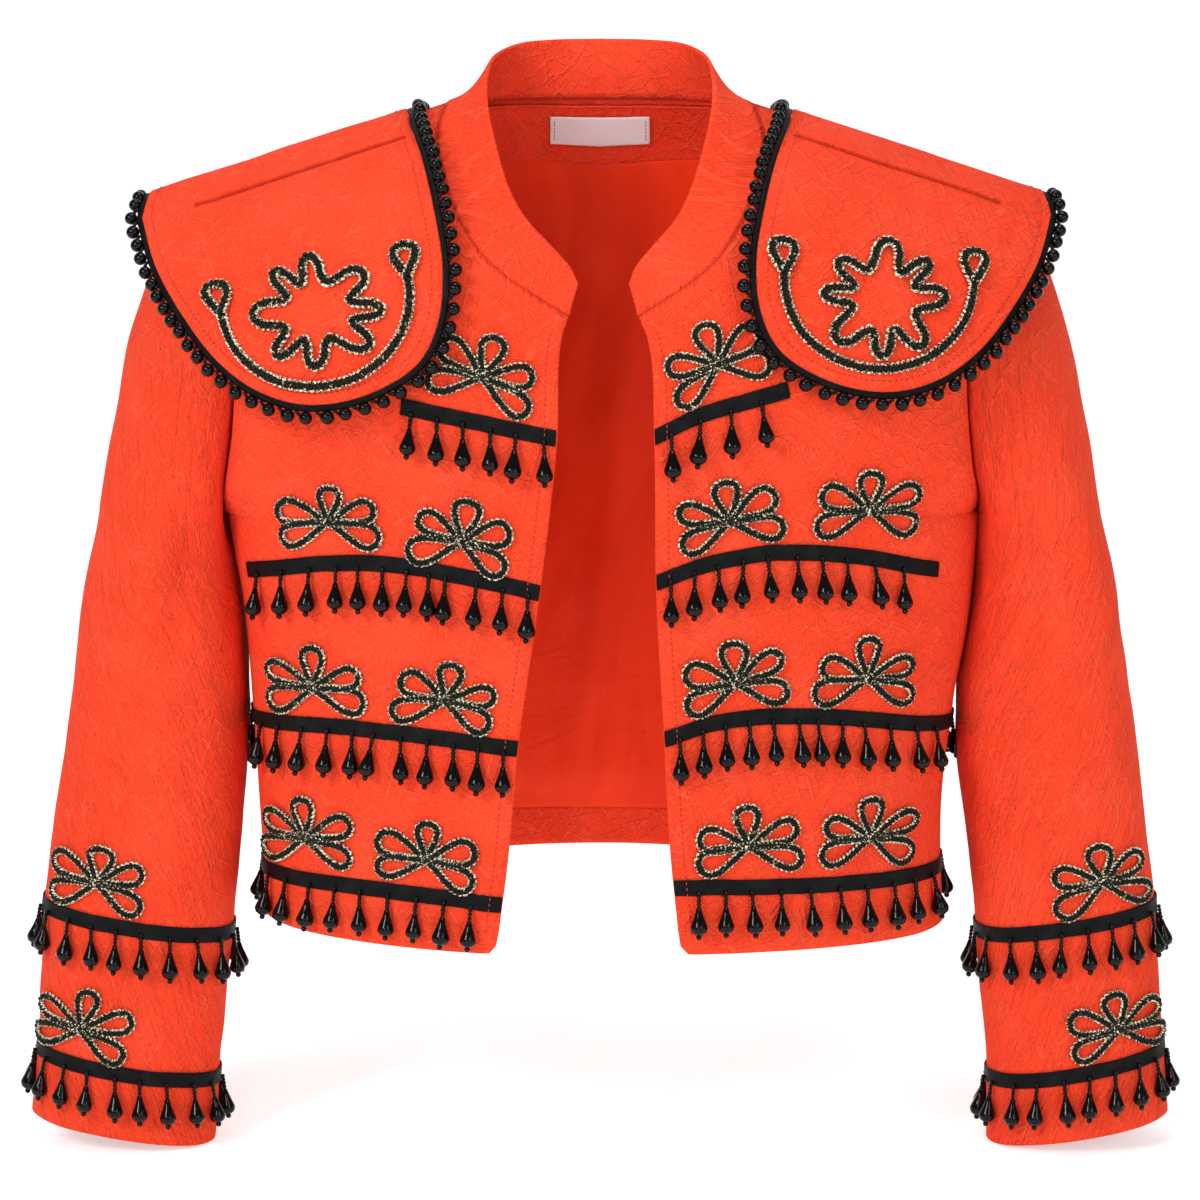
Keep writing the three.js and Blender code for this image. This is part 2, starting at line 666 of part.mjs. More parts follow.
/** Stand collar: from the wearer's right front corner round the back to the left one. */
function collarPanel(fronts, back) {
  const top = back.rows - 1;
  const seam = [];
  const neckFrom = FRONT_ROWS.side + FRONT_ROWS.arm - NECK_ROWS;
  for (let r = neckFrom; r <= top; r += 1) seam.push([fronts[0], r, 0]);
  const first = BACK_COLUMNS.shoulder;
  for (let c = first + 1; c < first + BACK_COLUMNS.neck; c += 1) seam.push([back, top, c]);
  for (let r = top; r >= neckFrom; r -= 1) seam.push([fronts[1], r, 0]);
  const base = seam.map(([panel, r, c]) => panel.grid[r][c]);
  const run = [0];
  for (let i = 1; i < base.length; i += 1) run.push(run[i - 1] + base[i].distanceTo(base[i - 1]));
  const half = run[run.length - 1] / 2;
  const edge = base.map((p, i) => {
    const along = 1 - Math.abs(run[i] - half) / half;
    const way = run[i] < half ? -1 : 1;
    const corner = way < 0 ? base[0] : base[base.length - 1];
    const shift = Math.abs(corner.x) - NECK_SEAM[0].out;
    return vec(
      way * (read(COLLAR_EDGE, 'along', 'out', along) + shift * Math.max(0, 1 - along * CORNER_SHARE)),
      read(COLLAR_EDGE, 'along', 'deep', along),
      read(COLLAR_EDGE, 'along', 'z', along),
    );
  });
  const grid = steps(0, 1, COLLAR_ROWS).map((t) => base.map((p, i) => p.clone().lerp(edge[i], t)));
  const collar = new Panel(grid, { turned: true });
  seam.forEach(([panel, r, c], k) => {
    const meeting = [[collar, 0, k], [panel, r, c]];
    if (panel === fronts[0] && r === top) meeting.push([back, top, first]);
    if (panel === fronts[1] && r === top) meeting.push([back, top, first + BACK_COLUMNS.neck]);
    shareNormals(...meeting);
  });
  return collar;
}

// ---------------------------------------------------------------- shoulder caps

const capRidgeZ = (out) => CAP_RIDGE.z - CAP_RIDGE.fall * (out - CAP_RIDGE.from);

/** A point of the shoulder cap by distance out, drop below the ridge, and face. */
function capPoint(out, drop, way, face) {
  const reach = read(CAP_REACH, 'out', face < 0 ? 'fore' : 'aft', out);
  const power = face < 0 ? CAP_ROUND.front : CAP_ROUND.back;
  const round = Math.sin((clamp(drop / CAP_ROUND.over, 0, 1) * Math.PI) / 2) ** power;
  return vec(way * out, face * reach * round, capRidgeZ(out) - drop);
}

const outlineKeys = CAP_OUTLINE.map((row, i) => ({ ...row, along: i / (CAP_OUTLINE.length - 1) }));

/** A cap's grid: columns fan from the ridge to the outline, rows run from ridge to outline. */
function capGrid(side, downs, face) {
  return downs.map((down) =>
    steps(0, 1, CAP_GRID.columns).map((along) => {
      const ridge = lerp(CAP_RIDGE.inner, CAP_RIDGE.outer, along);
      const narrow = lerp(1, side.capOut, along);
      const out = lerp(ridge, read(outlineKeys, 'along', 'out', along), down) * narrow;
      const drop = read(outlineKeys, 'along', 'drop', along) * side.capDrop * down ** CAP_ROUND.fan;
      return capPoint(out, drop, side.way, face);
    }),
  );
}

/** Front and back piece of one cap; the seam between them lies a little before the ridge. */
function capPanels(side) {
  const front = capGrid(side, steps(1, CAP_GRID.seam, CAP_GRID.front), -1);
  const over = capGrid(side, [CAP_GRID.seam, CAP_GRID.seam / 2], -1);
  const back = capGrid(side, steps(0, 1, CAP_GRID.back), 1);
  const panels = {
    front: new Panel(front, { turned: side.way < 0 }),
    back: new Panel([...over, ...back], { turned: side.way < 0 }),
  };
  for (let c = 0; c <= CAP_GRID.columns; c += 1) {
    shareNormals([panels.front, panels.front.rows - 1, c], [panels.back, 0, c]);
  }
  return panels;
}

/** The closed edge of a cap: each point with its normal and the way out of the cloth. */
function capEdge({ front, back }, way) {
  const corners = [];
  const lastC = front.columns - 1;
  const lastFront = front.rows - 1;
  const lastBack = back.rows - 1;
  for (let c = 0; c <= lastC; c += 1) corners.push([front, 0, c]);
  for (let r = 1; r <= lastFront; r += 1) corners.push([front, r, lastC]);
  for (let r = 1; r <= lastBack; r += 1) corners.push([back, r, lastC]);
  for (let c = lastC - 1; c >= 0; c -= 1) corners.push([back, lastBack, c]);
  for (let r = lastBack - 1; r >= 1; r -= 1) corners.push([back, r, 0]);
  for (let r = lastFront; r >= 1; r -= 1) corners.push([front, r, 0]);
  const beside = (list, i) => [list[(i + list.length - 1) % list.length], list[(i + 1) % list.length]];
  const smooth = (list) =>
    list.map((v, i) => {
      const [previous, next] = beside(list, i);
      return v.clone().multiplyScalar(2).add(previous).add(next).normalize();
    });
  const points = corners.map(([panel, r, c]) => panel.grid[r][c]);
  const normals = smooth(corners.map(([panel, r, c]) => panel.normals[r][c]));
  const aways = points.map((_, i) => {
    const [previous, next] = beside(points, i);
    return next.clone().sub(previous).cross(normals[i]).multiplyScalar(way).normalize();
  });
  const calm = smooth(aways);
  return points.map((p, i) => ({ p, n: normals[i], away: calm[i] }));
}

/** A closed band round a cap's edge, between two distances out from the cloth's edge. */
function capBand(edge, way, { near, far, thickness, out }) {
  const ring = (reach, lift) =>
    edge.map(({ p, n, away }) => p.clone().addScaledVector(away, reach).addScaledVector(n, lift));
  const outer = [ring(near, out), ring(far, out)];
  const inner = [ring(near, out - thickness), ring(far, out - thickness)];
  return closedWall(outer, inner, true, way > 0);
}

// ---------------------------------------------------------------- trim

/** A row of points at a height, on a panel's own columns, moved out by a reach. */
function stripRow(panel, columns, height, reach) {
  return columns.map((c) => {
    const r = panel.rowAt(c, height(c));
    return panel.at(r, c, reach(Math.abs(panel.at(r, c).x)));
  });
}

const NEAR_COLUMN = 0.12; // a whole column this near an end is left out

/** Columns of a panel from one fractional column up to another, with every whole one between. */
function columnRun(from, until) {
  const list = [from];
  for (let c = Math.floor(from) + 1; c < until; c += 1) {
    if (c - from > NEAR_COLUMN && until - c > NEAR_COLUMN) list.push(c);
  }
  return [...list, until];
}

/** The column at which a front panel stands a distance out, at a height. */
const columnAt = (panel, way, out, z) => panel.locate(way * out, z, 0, panel.columns - 1).c;

/** How far out a panel's column stands at a height. */
const outAt = (panel, c, z) => Math.abs(panel.at(panel.rowAt(c, z), c).x);

/** Adds a tape and the reach of the drops below it, both on strips of panel points. */
function addTape(name, panelStrips, ring, turned) {
  const half = TAPE_WIDTH / 2;
  const row = (shift, reach) =>
    panelStrips.flatMap(({ panel, columns, height }) =>
      stripRow(panel, columns, (c) => height(c) + shift, reach),
    );
  const band = (low, high, near, far) =>
    closedWall([row(low, far), row(high, far)], [row(low, near), row(high, near)], ring, turned);
  add(`tape_${name}`, band(-half, half, () => LIFT, () => LIFT + TAPE), 'tape');
  const top = -half - FRINGE.gap;
  const near = LIFT + FRINGE.lift;
  const thin = (out) => FRINGE_THIN.by * smoothstep(out, FRINGE_THIN.from, FRINGE_THIN.until);
  const far = (out) => near + FRINGE.depth * (ring ? 1 : 1 - thin(out));
  add(`fringe_${name}`, band(top - FRINGE.reach, top, () => near, far), 'beads');
}

function addFrontTapes(fronts) {
  for (const [name, row] of Object.entries(FRONT_TAPES)) {
    const i = name.endsWith('left') ? 1 : 0;
    const { way } = SIDES[i];
    const height = (out) => read(row.points, 'out', 'z', out);
    const from = Math.max(TAPE_END, columnAt(fronts[i], way, row.from + 1, height(row.from)));
    const until = columnAt(fronts[i], way, row.to, height(row.to));
    const columns = columnRun(from, until);
    const byColumn = (c) => height(outAt(fronts[i], c, height(row.from)));
    addTape(name, [{ panel: fronts[i], columns, height: byColumn }], false, way < 0);
  }
}

/** Tapes that start at one front edge, run round the back and end at the other front edge. */
function addRoundTapes(fronts, back) {
  for (const [name, row] of Object.entries(ROUND_TAPES)) {
    const strips = [0, 1].map((i) => {
      const panel = fronts[i];
      const points = row[SIDES[i].name];
      return { panel, height: (c) => read(points, 'out', 'z', outAt(panel, c, points[0].z)) };
    });
    const last = fronts[0].columns - 1;
    const whole = columnRun(TAPE_END, last);
    const end = back.columns - 1;
    const sideZ = [row.right, row.left].map((points) => points[points.length - 1].z);
    const backHeight = (c) => {
      const t = c / end;
      const chord = lerp(sideZ[0], sideZ[1], t);
      return chord + (row.back - chord) * Math.sin(t * Math.PI) ** BACK_FAN.bow;
    };
    const pieces = [
      { ...strips[0], columns: whole },
      { panel: back, columns: columnRun(0, end).slice(1, -1), height: backHeight },
      { ...strips[1], columns: [...whole].reverse() },
    ];
    addTape(name, pieces, false, true);
  }
}

function addSleeveTapes(side, sleeve) {
  for (const tape of SLEEVE_TAPES) {
    const columns = Array.from({ length: sleeve.columns }, (_, k) => k);
    const row = sleeve.rowAt(sleeve.columns / 4, tape.z);
    const along = (c) => sleeve.at(row, c).z;
    const strips = [{ panel: sleeve, columns, height: along }];
    addTape(`sleeve_${side.name}_${tape.name}`, strips, true, side.way > 0);
  }
}

/** Outline of a five-loop rosette with the eye of each loop left open. */
function rosetteShape() {
  const polar = (degrees, radius, aside = 0) => {
    const a = THREE.MathUtils.degToRad(degrees);
    return [radius * Math.cos(a) - aside * Math.sin(a), radius * Math.sin(a) + aside * Math.cos(a)];
  };
  const shape = new THREE.Shape();
  const outline = LOOPS.flatMap((loop, i) => {
    const next = LOOPS[(i + 1) % LOOPS.length];
    const gap = (next.at - loop.at + 360) % 360;
    return [
      polar(loop.at, loop.long * LOOP.wide, -LOOP_HALF_WIDTH),
      polar(loop.at, loop.long * LOOP.tip, -LOOP_HALF_WIDTH * LOOP.tipWide),
      polar(loop.at, loop.long * LOOP.tip, LOOP_HALF_WIDTH * LOOP.tipWide),
      polar(loop.at, loop.long * LOOP.wide, LOOP_HALF_WIDTH),
      polar(loop.at + gap / 2, gap > 90 ? LOOP.rootLow : LOOP.root),
    ];
  });
  shape.setFromPoints(outline.map(([x, y]) => new THREE.Vector2(x, y)));
  shape.holes = LOOPS.map((loop) => {
    const eye = LOOP_HALF_WIDTH - BRAID_WIDTH;
    const points = [
      polar(loop.at, loop.long * LOOP.eyeFrom),
      polar(loop.at, loop.long * LOOP.eyeWide, eye),
      polar(loop.at, loop.long - BRAID_WIDTH * LOOP.eyeTip),
      polar(loop.at, loop.long * LOOP.eyeWide, -eye),
    ];
    return new THREE.Path(points.map(([x, y]) => new THREE.Vector2(x, y)));
  });
  return shape;
}

/** A closed wavy braid with its middle left open. */
function starShape() {
  const points = (radius, count) =>
    Array.from({ length: count }, (_, k) => {
      const a = (2 * Math.PI * k) / count;
      const r = radius + STAR.wave * Math.cos(STAR.lobes * a);
      return new THREE.Vector2(r * Math.cos(a), r * Math.sin(a) * STAR.squash);
    });
  const shape = new THREE.Shape(points(STAR.radius, STAR.lobes * 4));
  const middle = points(STAR.radius - BRAID_WIDTH * STAR.braids, STAR.lobes * 2);
  shape.holes = [new THREE.Path(middle.reverse())];
  return shape;
}

/** An open sweep of braid under the star, swelling into a small loop at each end. */
function arcShape() {
  const turns = steps(Math.PI * ARC.sweep[0], Math.PI * ARC.sweep[1], 12);
  const oval = (x, wide, tall, a) => new THREE.Vector2(x + wide * Math.cos(a), tall * Math.sin(a));
  const edge = (grow) => turns.map((a) => oval(0, ARC.wide + grow, ARC.tall + grow, a));
  const knob = (x) =>
    steps(-ARC.endPast, Math.PI + ARC.endPast, 5)
      .slice(1, -1)
      .map((a) => oval(x, ARC.end, ARC.end * ARC.endTall, a));
  const outer = edge(BRAID_WIDTH / 2);
  const inner = edge(-BRAID_WIDTH / 2).reverse();
  return new THREE.Shape([...outer, ...knob(ARC.wide), ...inner, ...knob(-ARC.wide)]);
}

/** Lays a flat shape of braid on a panel: its middle at x and z, turned, and lifted clear. */
function layBraid(panel, shape, centre, columns, lift) {
  const flat = new THREE.ExtrudeGeometry(shape, { depth: BRAID, bevelEnabled: false, curveSegments: 4 });
  const turn = THREE.MathUtils.degToRad(centre.turn);
  const position = flat.getAttribute('position');
  for (let i = 0; i < position.count; i += 1) {
    const u = position.getX(i) * Math.cos(turn) - position.getY(i) * Math.sin(turn);
    const v = position.getX(i) * Math.sin(turn) + position.getY(i) * Math.cos(turn);
    const spot = panel.locate(centre.x + u, centre.z + v, ...columns);
    const p = panel.at(spot.r, spot.c, lift + position.getZ(i));
    position.setXYZ(i, p.x, p.y, p.z);
  }
  flat.deleteAttribute('normal');
  flat.deleteAttribute('uv');
  return flat;
}

// ---------------------------------------------------------------- inside the back

const NEAR_LINE = 0.05; // a whole row or column this near an end is left out

/** Two ends with the whole numbers that lie between them. */
function between(a, b) {
  const list = [a];
  for (let i = Math.ceil(a + NEAR_LINE); i <= b - NEAR_LINE; i += 1) list.push(i);
  return [...list, b];
}

/** A piece inside the back: a patch of the back's own rows and columns, moved in. */
function insideBack(back, rows, columns, depth) {
  const grid = (out) =>
    between(...rows).map((r) => between(...columns).map((c) => back.at(r, c, out)));
  return closedWall(grid(-depth), grid(-depth - INNER_CLOTH), false, true);
}

function addInside(back) {
  const last = back.columns - 1;
  const middle = last / 2;
  const neckSpan = BACK_COLUMNS.neck / 2;
  const labelSpan = (LABEL_WIDTH / 2 / NECK_POINT.out) * neckSpan;
  const first = CLOTH + INNER_AIR;
  const second = first + INNER_CLOTH + LABEL_AIR;
  const rowRise = (BACK_NECK_Z - BACK_HEM) / (back.rows - 1);
  const rowOf = (z) => (z - BACK_HEM) / rowRise;
  const neck = [middle - neckSpan, middle + neckSpan];
  const lining = [rowOf(INSIDE.hemTop) + INSIDE.gap, rowOf(INSIDE.facingLow) - INSIDE.gap];
  const label = [rowOf(INSIDE.labelLow), rowOf(INSIDE.labelTop)];
  const inset = (by) => [by, last - by];
  const piece = (name, rows, columns, depth, finish) =>
    add(name, insideBack(back, rows, columns, depth), finish);
  piece('hem_facing', [INSIDE.hemLow, rowOf(INSIDE.hemTop)], inset(INSIDE.hemIn), first, 'shell');
  piece('back_lining', lining, inset(1), first, 'lining');
  piece('neck_facing', [rowOf(INSIDE.facingLow), back.rows - INSIDE.neckIn], neck, first, 'shell');
  piece('label', label, [middle - labelSpan, middle + labelSpan], second, 'label');
}

// ---------------------------------------------------------------- the jacket

const fronts = SIDES.map(frontPanel);
const back = backPanel();
for (let r = 0; r <= FRONT_ROWS.side; r += 1) {
  shareNormals([fronts[0], r, FRONT_ROWS.columns], [back, r, 0]);
  shareNormals([fronts[1], r, FRONT_ROWS.columns], [back, r, back.columns - 1]);
}
SIDES.forEach((side, i) => {
  const across = vec(side.way * SHOULDER_FALL, 0, 1).normalize();
  const top = back.rows - 1;
  for (let c = 0; c < fronts[i].columns; c += 1) fronts[i].normals[top][c] = across.clone();
  for (let c = 0; c <= BACK_COLUMNS.shoulder; c += 1) {
    back.normals[top][side.way < 0 ? c : back.columns - 1 - c] = across.clone();
  }
});
const sleeves = SIDES.map((side, i) => sleevePanel(side, fronts[i], back));
const collar = collarPanel(fronts, back);

SIDES.forEach((side, i) => {
  add(`front_${side.name}`, fronts[i].wall(CLOTH, { top: SEAM, end: SEAM }), 'shell');
  add(`sleeve_${side.name}`, sleeves[i].wall(CLOTH, { bottom: 2 * SEAM }), 'shell');
});
add('back', back.wall(CLOTH, { top: SEAM, start: SEAM, end: SEAM }), 'shell');
add('collar', collar.wall(STIFFENED, { bottom: 4 * SEAM }), 'shell');

SIDES.forEach((side) => {
  const panels = capPanels(side);
  add(`epaulette_${side.name}_front`, panels.front.wall(STIFFENED, { top: SEAM }), 'shell');
  add(`epaulette_${side.name}_back`, panels.back.wall(STIFFENED, { bottom: SEAM }), 'shell');
  const edge = capEdge(panels, side.way);
  add(`epaulette_binding_${side.name}`, capBand(edge, side.way, CAP_BINDING), 'tape');
  add(`epaulette_beads_${side.name}`, capBand(edge, side.way, CAP_BEADS), 'beads');
  const sewn = (name, shape, { out, z, turn }) => {
    const centre = { x: side.way * out, z, turn };
    const braid = layBraid(panels.front, shape, centre, [0, CAP_GRID.columns], BRAID_LIFT.cap);
    add(`${name}_${side.name}`, braid, 'braid');
  };
  sewn('star', starShape(), { out: STAR.out, z: STAR[side.name], turn: 0 });
  sewn('arc', arcShape(), ARC[side.name]);
});

SIDES.forEach((side, i) => {
  const sewn = (name, spot, turn, panel, columns, lift) => {
    const centre = { x: side.way * spot.out, z: spot.z, turn };
    add(`rosette_${name}_${spot.name}`, layBraid(panel, rosetteShape(), centre, columns, lift), 'braid');
  };
  const half = [0, sleeves[i].columns / 2];
  for (const spot of ROSETTES[side.name]) {
    sewn(side.name, spot, spot.turn, fronts[i], [0, FRONT_ROWS.columns], BRAID_LIFT.body);
  }
  for (const spot of SLEEVE_ROSETTES) {
    sewn(`sleeve_${side.name}`, spot, -side.way * spot.turn, sleeves[i], half, BRAID_LIFT.sleeve);
  }
});

addFrontTapes(fronts);
addRoundTapes(fronts, back);
SIDES.forEach((side, i) => addSleeveTapes(side, sleeves[i]));
addInside(back);

export default group;
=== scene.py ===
"""Matador jacket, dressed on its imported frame.

The jacket is held in its worn form.  Every piece is worked out with numpy as a surface of two
parameters or a profile carried along a path, in millimetres, and becomes a mesh in metres.
+Z is up, the open front faces -Y and the wearer's left is +X.
"""

from __future__ import annotations

import itertools
import logging
import math
from dataclasses import dataclass, field
from enum import Enum, IntEnum

import bmesh
import bpy
import numpy as np
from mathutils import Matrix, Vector

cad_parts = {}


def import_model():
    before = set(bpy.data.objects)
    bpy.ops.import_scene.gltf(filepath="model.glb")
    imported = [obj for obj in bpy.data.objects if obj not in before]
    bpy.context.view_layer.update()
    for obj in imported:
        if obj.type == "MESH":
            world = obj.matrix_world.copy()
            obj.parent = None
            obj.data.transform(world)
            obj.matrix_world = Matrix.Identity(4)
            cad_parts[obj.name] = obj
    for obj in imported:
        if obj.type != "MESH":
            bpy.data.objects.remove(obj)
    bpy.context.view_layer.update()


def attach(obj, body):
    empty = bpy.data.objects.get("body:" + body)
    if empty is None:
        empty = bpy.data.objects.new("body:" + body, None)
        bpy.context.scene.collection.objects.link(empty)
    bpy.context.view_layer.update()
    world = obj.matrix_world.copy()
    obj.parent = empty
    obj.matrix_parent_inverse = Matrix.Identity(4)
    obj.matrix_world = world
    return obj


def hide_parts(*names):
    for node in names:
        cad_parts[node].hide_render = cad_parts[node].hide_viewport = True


LOG = logging.getLogger("matador_jacket")
MM = 0.001
ROOT = "root"
Array = np.ndarray
Colour = tuple[float, float, float]


class Seed(IntEnum):
    """First seed of each kind of piece, so that no two kinds share their unevenness."""

    BODY = 11
    SLEEVE = 31
    COLLAR = 53
    CAP = 67
    BINDING = 71
    HEM = 81
    NECK_BAND = 85
    LINING = 91
    LABEL = 97
    FRONT_TAPE = 100
    ROUND_TAPE = 160
    SLEEVE_TAPE = 210
    FRONT_KNOT = 300
    SLEEVE_KNOT = 350
    SIDE_KNOT = 390
    STAR = 410
    CAP_BEADS = 500


class Slot(Enum):
    """The finishes that the record names."""

    SHELL = "shell"
    LINING = "lining"
    TAPE = "tape"
    BEADS = "beads"
    BRAID = "braid"
    LABEL = "label"


# ------------------------------------------------------------------ tables of the cut


@dataclass(frozen=True)
class Table:
    """Rows of numbers under named columns, read smoothly by the first column."""

    names: tuple[str, ...]
    rows: tuple[tuple[float, ...], ...]

    def read(self, column: str, at: Array | float) -> Array:
        """Reads one column by Hermite pieces whose slopes are averaged from both sides.

        Args:
            column: the column to read.
            at: values of the first column.

        Returns:
            The column's value at each of them.
        """
        data = np.array(self.rows, float)
        if data[-1, 0] < data[0, 0]:
            data = data[::-1]
        x, y = data[:, 0], data[:, self.names.index(column)]
        at = np.clip(np.asarray(at, float), x[0], x[-1])
        i = np.clip(np.searchsorted(x, at, side="right") - 1, 0, len(x) - 2)
        rise = np.diff(y) / np.diff(x)
        slope = np.concatenate([rise[:1], (rise[:-1] + rise[1:]) / 2, rise[-1:]])
        span = x[i + 1] - x[i]
        return hermite((at - x[i]) / span, y[i], span * slope[i], y[i + 1], span * slope[i + 1])


@dataclass(frozen=True)
class Side:
    """One side of the jacket: its name, its way along X and what differs on it."""

    name: str
    way: int
    hem_z: float
    cap_drop: float
    cap_out: float


RIGHT = Side("right", -1, -477, 1.0, 1.0)
LEFT = Side("left", 1, -482, 0.955, 0.985)
SIDES = (RIGHT, LEFT)

BODY = Table(
    ("z", "right", "left", "front", "back"),
    (
        (-486, 204, 208, 110, 105),
        (-440, 204, 206, 110, 105),
        (-395, 206, 207, 109, 104),
        (-350, 209, 212, 108, 103),
        (-300, 212, 220, 107, 103),
        (-236, 221, 225, 109, 105),
        (-160, 224, 228, 112, 108),
        (-60, 224, 228, 110, 109),
        (30, 224, 228, 108, 109),
    ),
)
ARMHOLE = Table(
    ("z", "out", "fore", "aft"),
    (
        (-236, 223, 0, 0),
        (-224, 222, 24, 22),
        (-206, 217, 42, 38),
        (-171, 212, 56, 53),
        (-130, 211, 60, 57),
        (-95, 215, 52, 52),
        (-66, 225, 34, 36),
        (-43, 236, 0, 0),
    ),
)
FRONT_EDGE = Table(
    ("z", "right", "left"),
    (
        (-482, 60.5, 47),
        (-420, 52.7, 40.7),
        (-362, 47.3, 37.4),
        (-268, 34, 32.3),
        (-185, 24.6, 31),
        (-127, 21.9, 27),
        (-115, 18, 22),
    ),
)
NECK_SEAM = Table(
    ("along", "out", "z"),
    (
        (0, 20, -115),
        (0.17, 40, -102.5),
        (0.33, 57, -90.5),
        (0.5, 71, -76.5),
        (0.67, 84, -56),
        (0.83, 92, -34),
        (0.94, 95.5, -12),
        (1, 90, 5),
    ),
)
COLLAR_EDGE = Table(
    ("along", "out", "deep", "z"),
    (
        (0, 15.5, -107, -97),
        (0.06, 19, -101, -88),
        (0.14, 29, -93, -76.5),
        (0.24, 43, -83, -61),
        (0.34, 53, -70, -43),
        (0.45, 61, -53, -19),
        (0.55, 66, -31, 2),
        (0.64, 67, -7, 20),
        (0.73, 63, 16, 32),
        (0.82, 50, 42, 39),
        (0.91, 27, 57, 41.5),
        (1, 0, 62, 42),
    ),
)
SLEEVE = Table(
    ("z", "outer", "right", "left", "deep", "thick", "tilt", "square"),
    (
        (-251, 297.5, 218, 224.5, 2, 64, 22, 2.5),
        (-291, 307, 214, 221.5, 3, 59, 15, 2.7),
        (-330, 314, 212, 217, 4, 54, 12, 2.7),
        (-367, 320, 212.5, 215, 4, 49, 10, 2.6),
        (-444, 331.5, 219.5, 225, 2, 43, 9, 2.4),
        (-505, 337.5, 225.5, 231.5, -1, 39.5, 9.5, 2.3),
        (-560, 342, 232, 236, -4, 37, 10, 2.2),
        (-612, 346.5, 236.5, 237.5, -6, 36, 10, 2.2),
    ),
)
CAP_OUTLINE = Table(
    ("along", "out", "drop"),
    (
        (0, 111, 9),
        (1 / 12, 101, 36),
        (2 / 12, 93, 68),
        (3 / 12, 88.5, 98),
        (4 / 12, 91, 127),
        (5 / 12, 104, 147),
        (6 / 12, 133, 154),
        (7 / 12, 164, 149),
        (8 / 12, 192, 133),
        (9 / 12, 216, 109),
        (10 / 12, 238, 77),
        (11 / 12, 256, 45),
        (1, 267, 14),
    ),
)
CAP_REACH = Table(
    ("out", "fore", "aft"),
    (
        (80, 119, 118),
        (120, 118, 118),
        (160, 115, 114),
        (200, 106, 104),
        (235, 91, 89),
        (262, 70, 70),
        (275, 60, 60),
    ),
)

UNDERARM_Z, SHOULDER_Z = -236.0, -43.0
NECK_OUT, NECK_Z, NECK_BOW = 90.0, 5.0, 32.0
SHOULDER_FALL = 0.322
ROUND_OVER = 130.0
BULGE_X, BULGE_Y = 0.9, 0.86
FRONT_HEM, BACK_HEM, BACK_NECK_Z = -482.0, -461.5, 8.0

# Grid rows and columns of each coarse step, so that every surface stays smooth up close.
FINE = 8
SIDE_ROWS, ARM_ROWS, NECK_ROWS = 7 * FINE, 9 * FINE, 6 * FINE
TOP_ROW = SIDE_ROWS + ARM_ROWS


def steps(start: float, stop: float, count: int) -> Array:
    """Numbers from start to stop in count even steps, both ends included."""
    return np.linspace(start, stop, count + 1)


def lerp(a: Array | float, b: Array | float, t: Array | float) -> Array:
    """The value a share t of the way from a to b."""
    return a + (b - a) * t


def smooth(t: Array | float) -> Array:
    """A share eased in and out between 0 and 1."""
    t = np.clip(t, 0, 1)
    return t * t * (3 - 2 * t)


def unit(v: Array) -> Array:
    """Vectors brought to length one."""
    return v / np.maximum(np.linalg.norm(v, axis=-1, keepdims=True), 1e-9)


def stack(x: Array, y: Array, z: Array) -> Array:
    """Points from their three coordinates."""
    return np.stack(np.broadcast_arrays(x, y, z), axis=-1).astype(float)


def hermite(t: Array, start: Array, leave: Array, stop: Array, arrive: Array) -> Array:
    """A curve from start to stop at a share t, by the slopes at which it leaves and arrives."""
    return (
        (2 * t**3 - 3 * t**2 + 1) * start
        + (t**3 - 2 * t**2 + t) * leave
        + (3 * t**2 - 2 * t**3) * stop
        + (t**3 - t**2) * arrive
    )


def run_along(path: Array) -> Array:
    """Length along a path up to each of its points."""
    return np.concatenate([[0], np.cumsum(np.linalg.norm(np.diff(path, axis=0), axis=-1))])


def read_at(goal: Array, run: Array, values: Array) -> Array:
    """Rows of values read at places along a run."""
    return np.stack([np.interp(goal, run, column) for column in values.T], axis=-1)


def turned_by(u: Array, v: Array, angle: float) -> tuple[Array, Array]:
    """Flat coordinates turned round the origin by an angle."""
    return u * math.cos(angle) - v * math.sin(angle), u * math.sin(angle) + v * math.cos(angle)


def cells(rows: int, columns: int) -> tuple[Array, Array]:
    """Row and column of every cell of a grid with so many cells each way."""
    r, c = np.meshgrid(np.arange(rows), np.arange(columns), indexing="ij")
    return r.ravel(), c.ravel()


def soft_noise(points: Array, size: float, seed: int) -> Array:
    """Smooth random heights from -1 to 1 over space.

    Random values stand on a cubic lattice of the given size and are blended between its
    corners by eased weights.

    Args:
        points: places in millimetres, three coordinates last.
        size: width of a lattice cell.
        seed: picks the lattice.

    Returns:
        One height a point.
    """
    count = 32
    lattice = np.random.default_rng(seed).uniform(-1, 1, (count, count, count))
    cell = points / size
    base = np.floor(cell).astype(int)
    t = smooth(cell - base)
    total = np.zeros(points.shape[:-1])
    for corner in itertools.product((0, 1), repeat=3):
        weight = np.prod(np.where(np.array(corner) == 1, t, 1 - t), axis=-1)
        i = (base + np.array(corner)) % count
        total += weight * lattice[i[..., 0], i[..., 1], i[..., 2]]
    return total


# ------------------------------------------------------------------ surfaces


# Stands for the distance from a seam where a surface has none.
FAR = 60.0


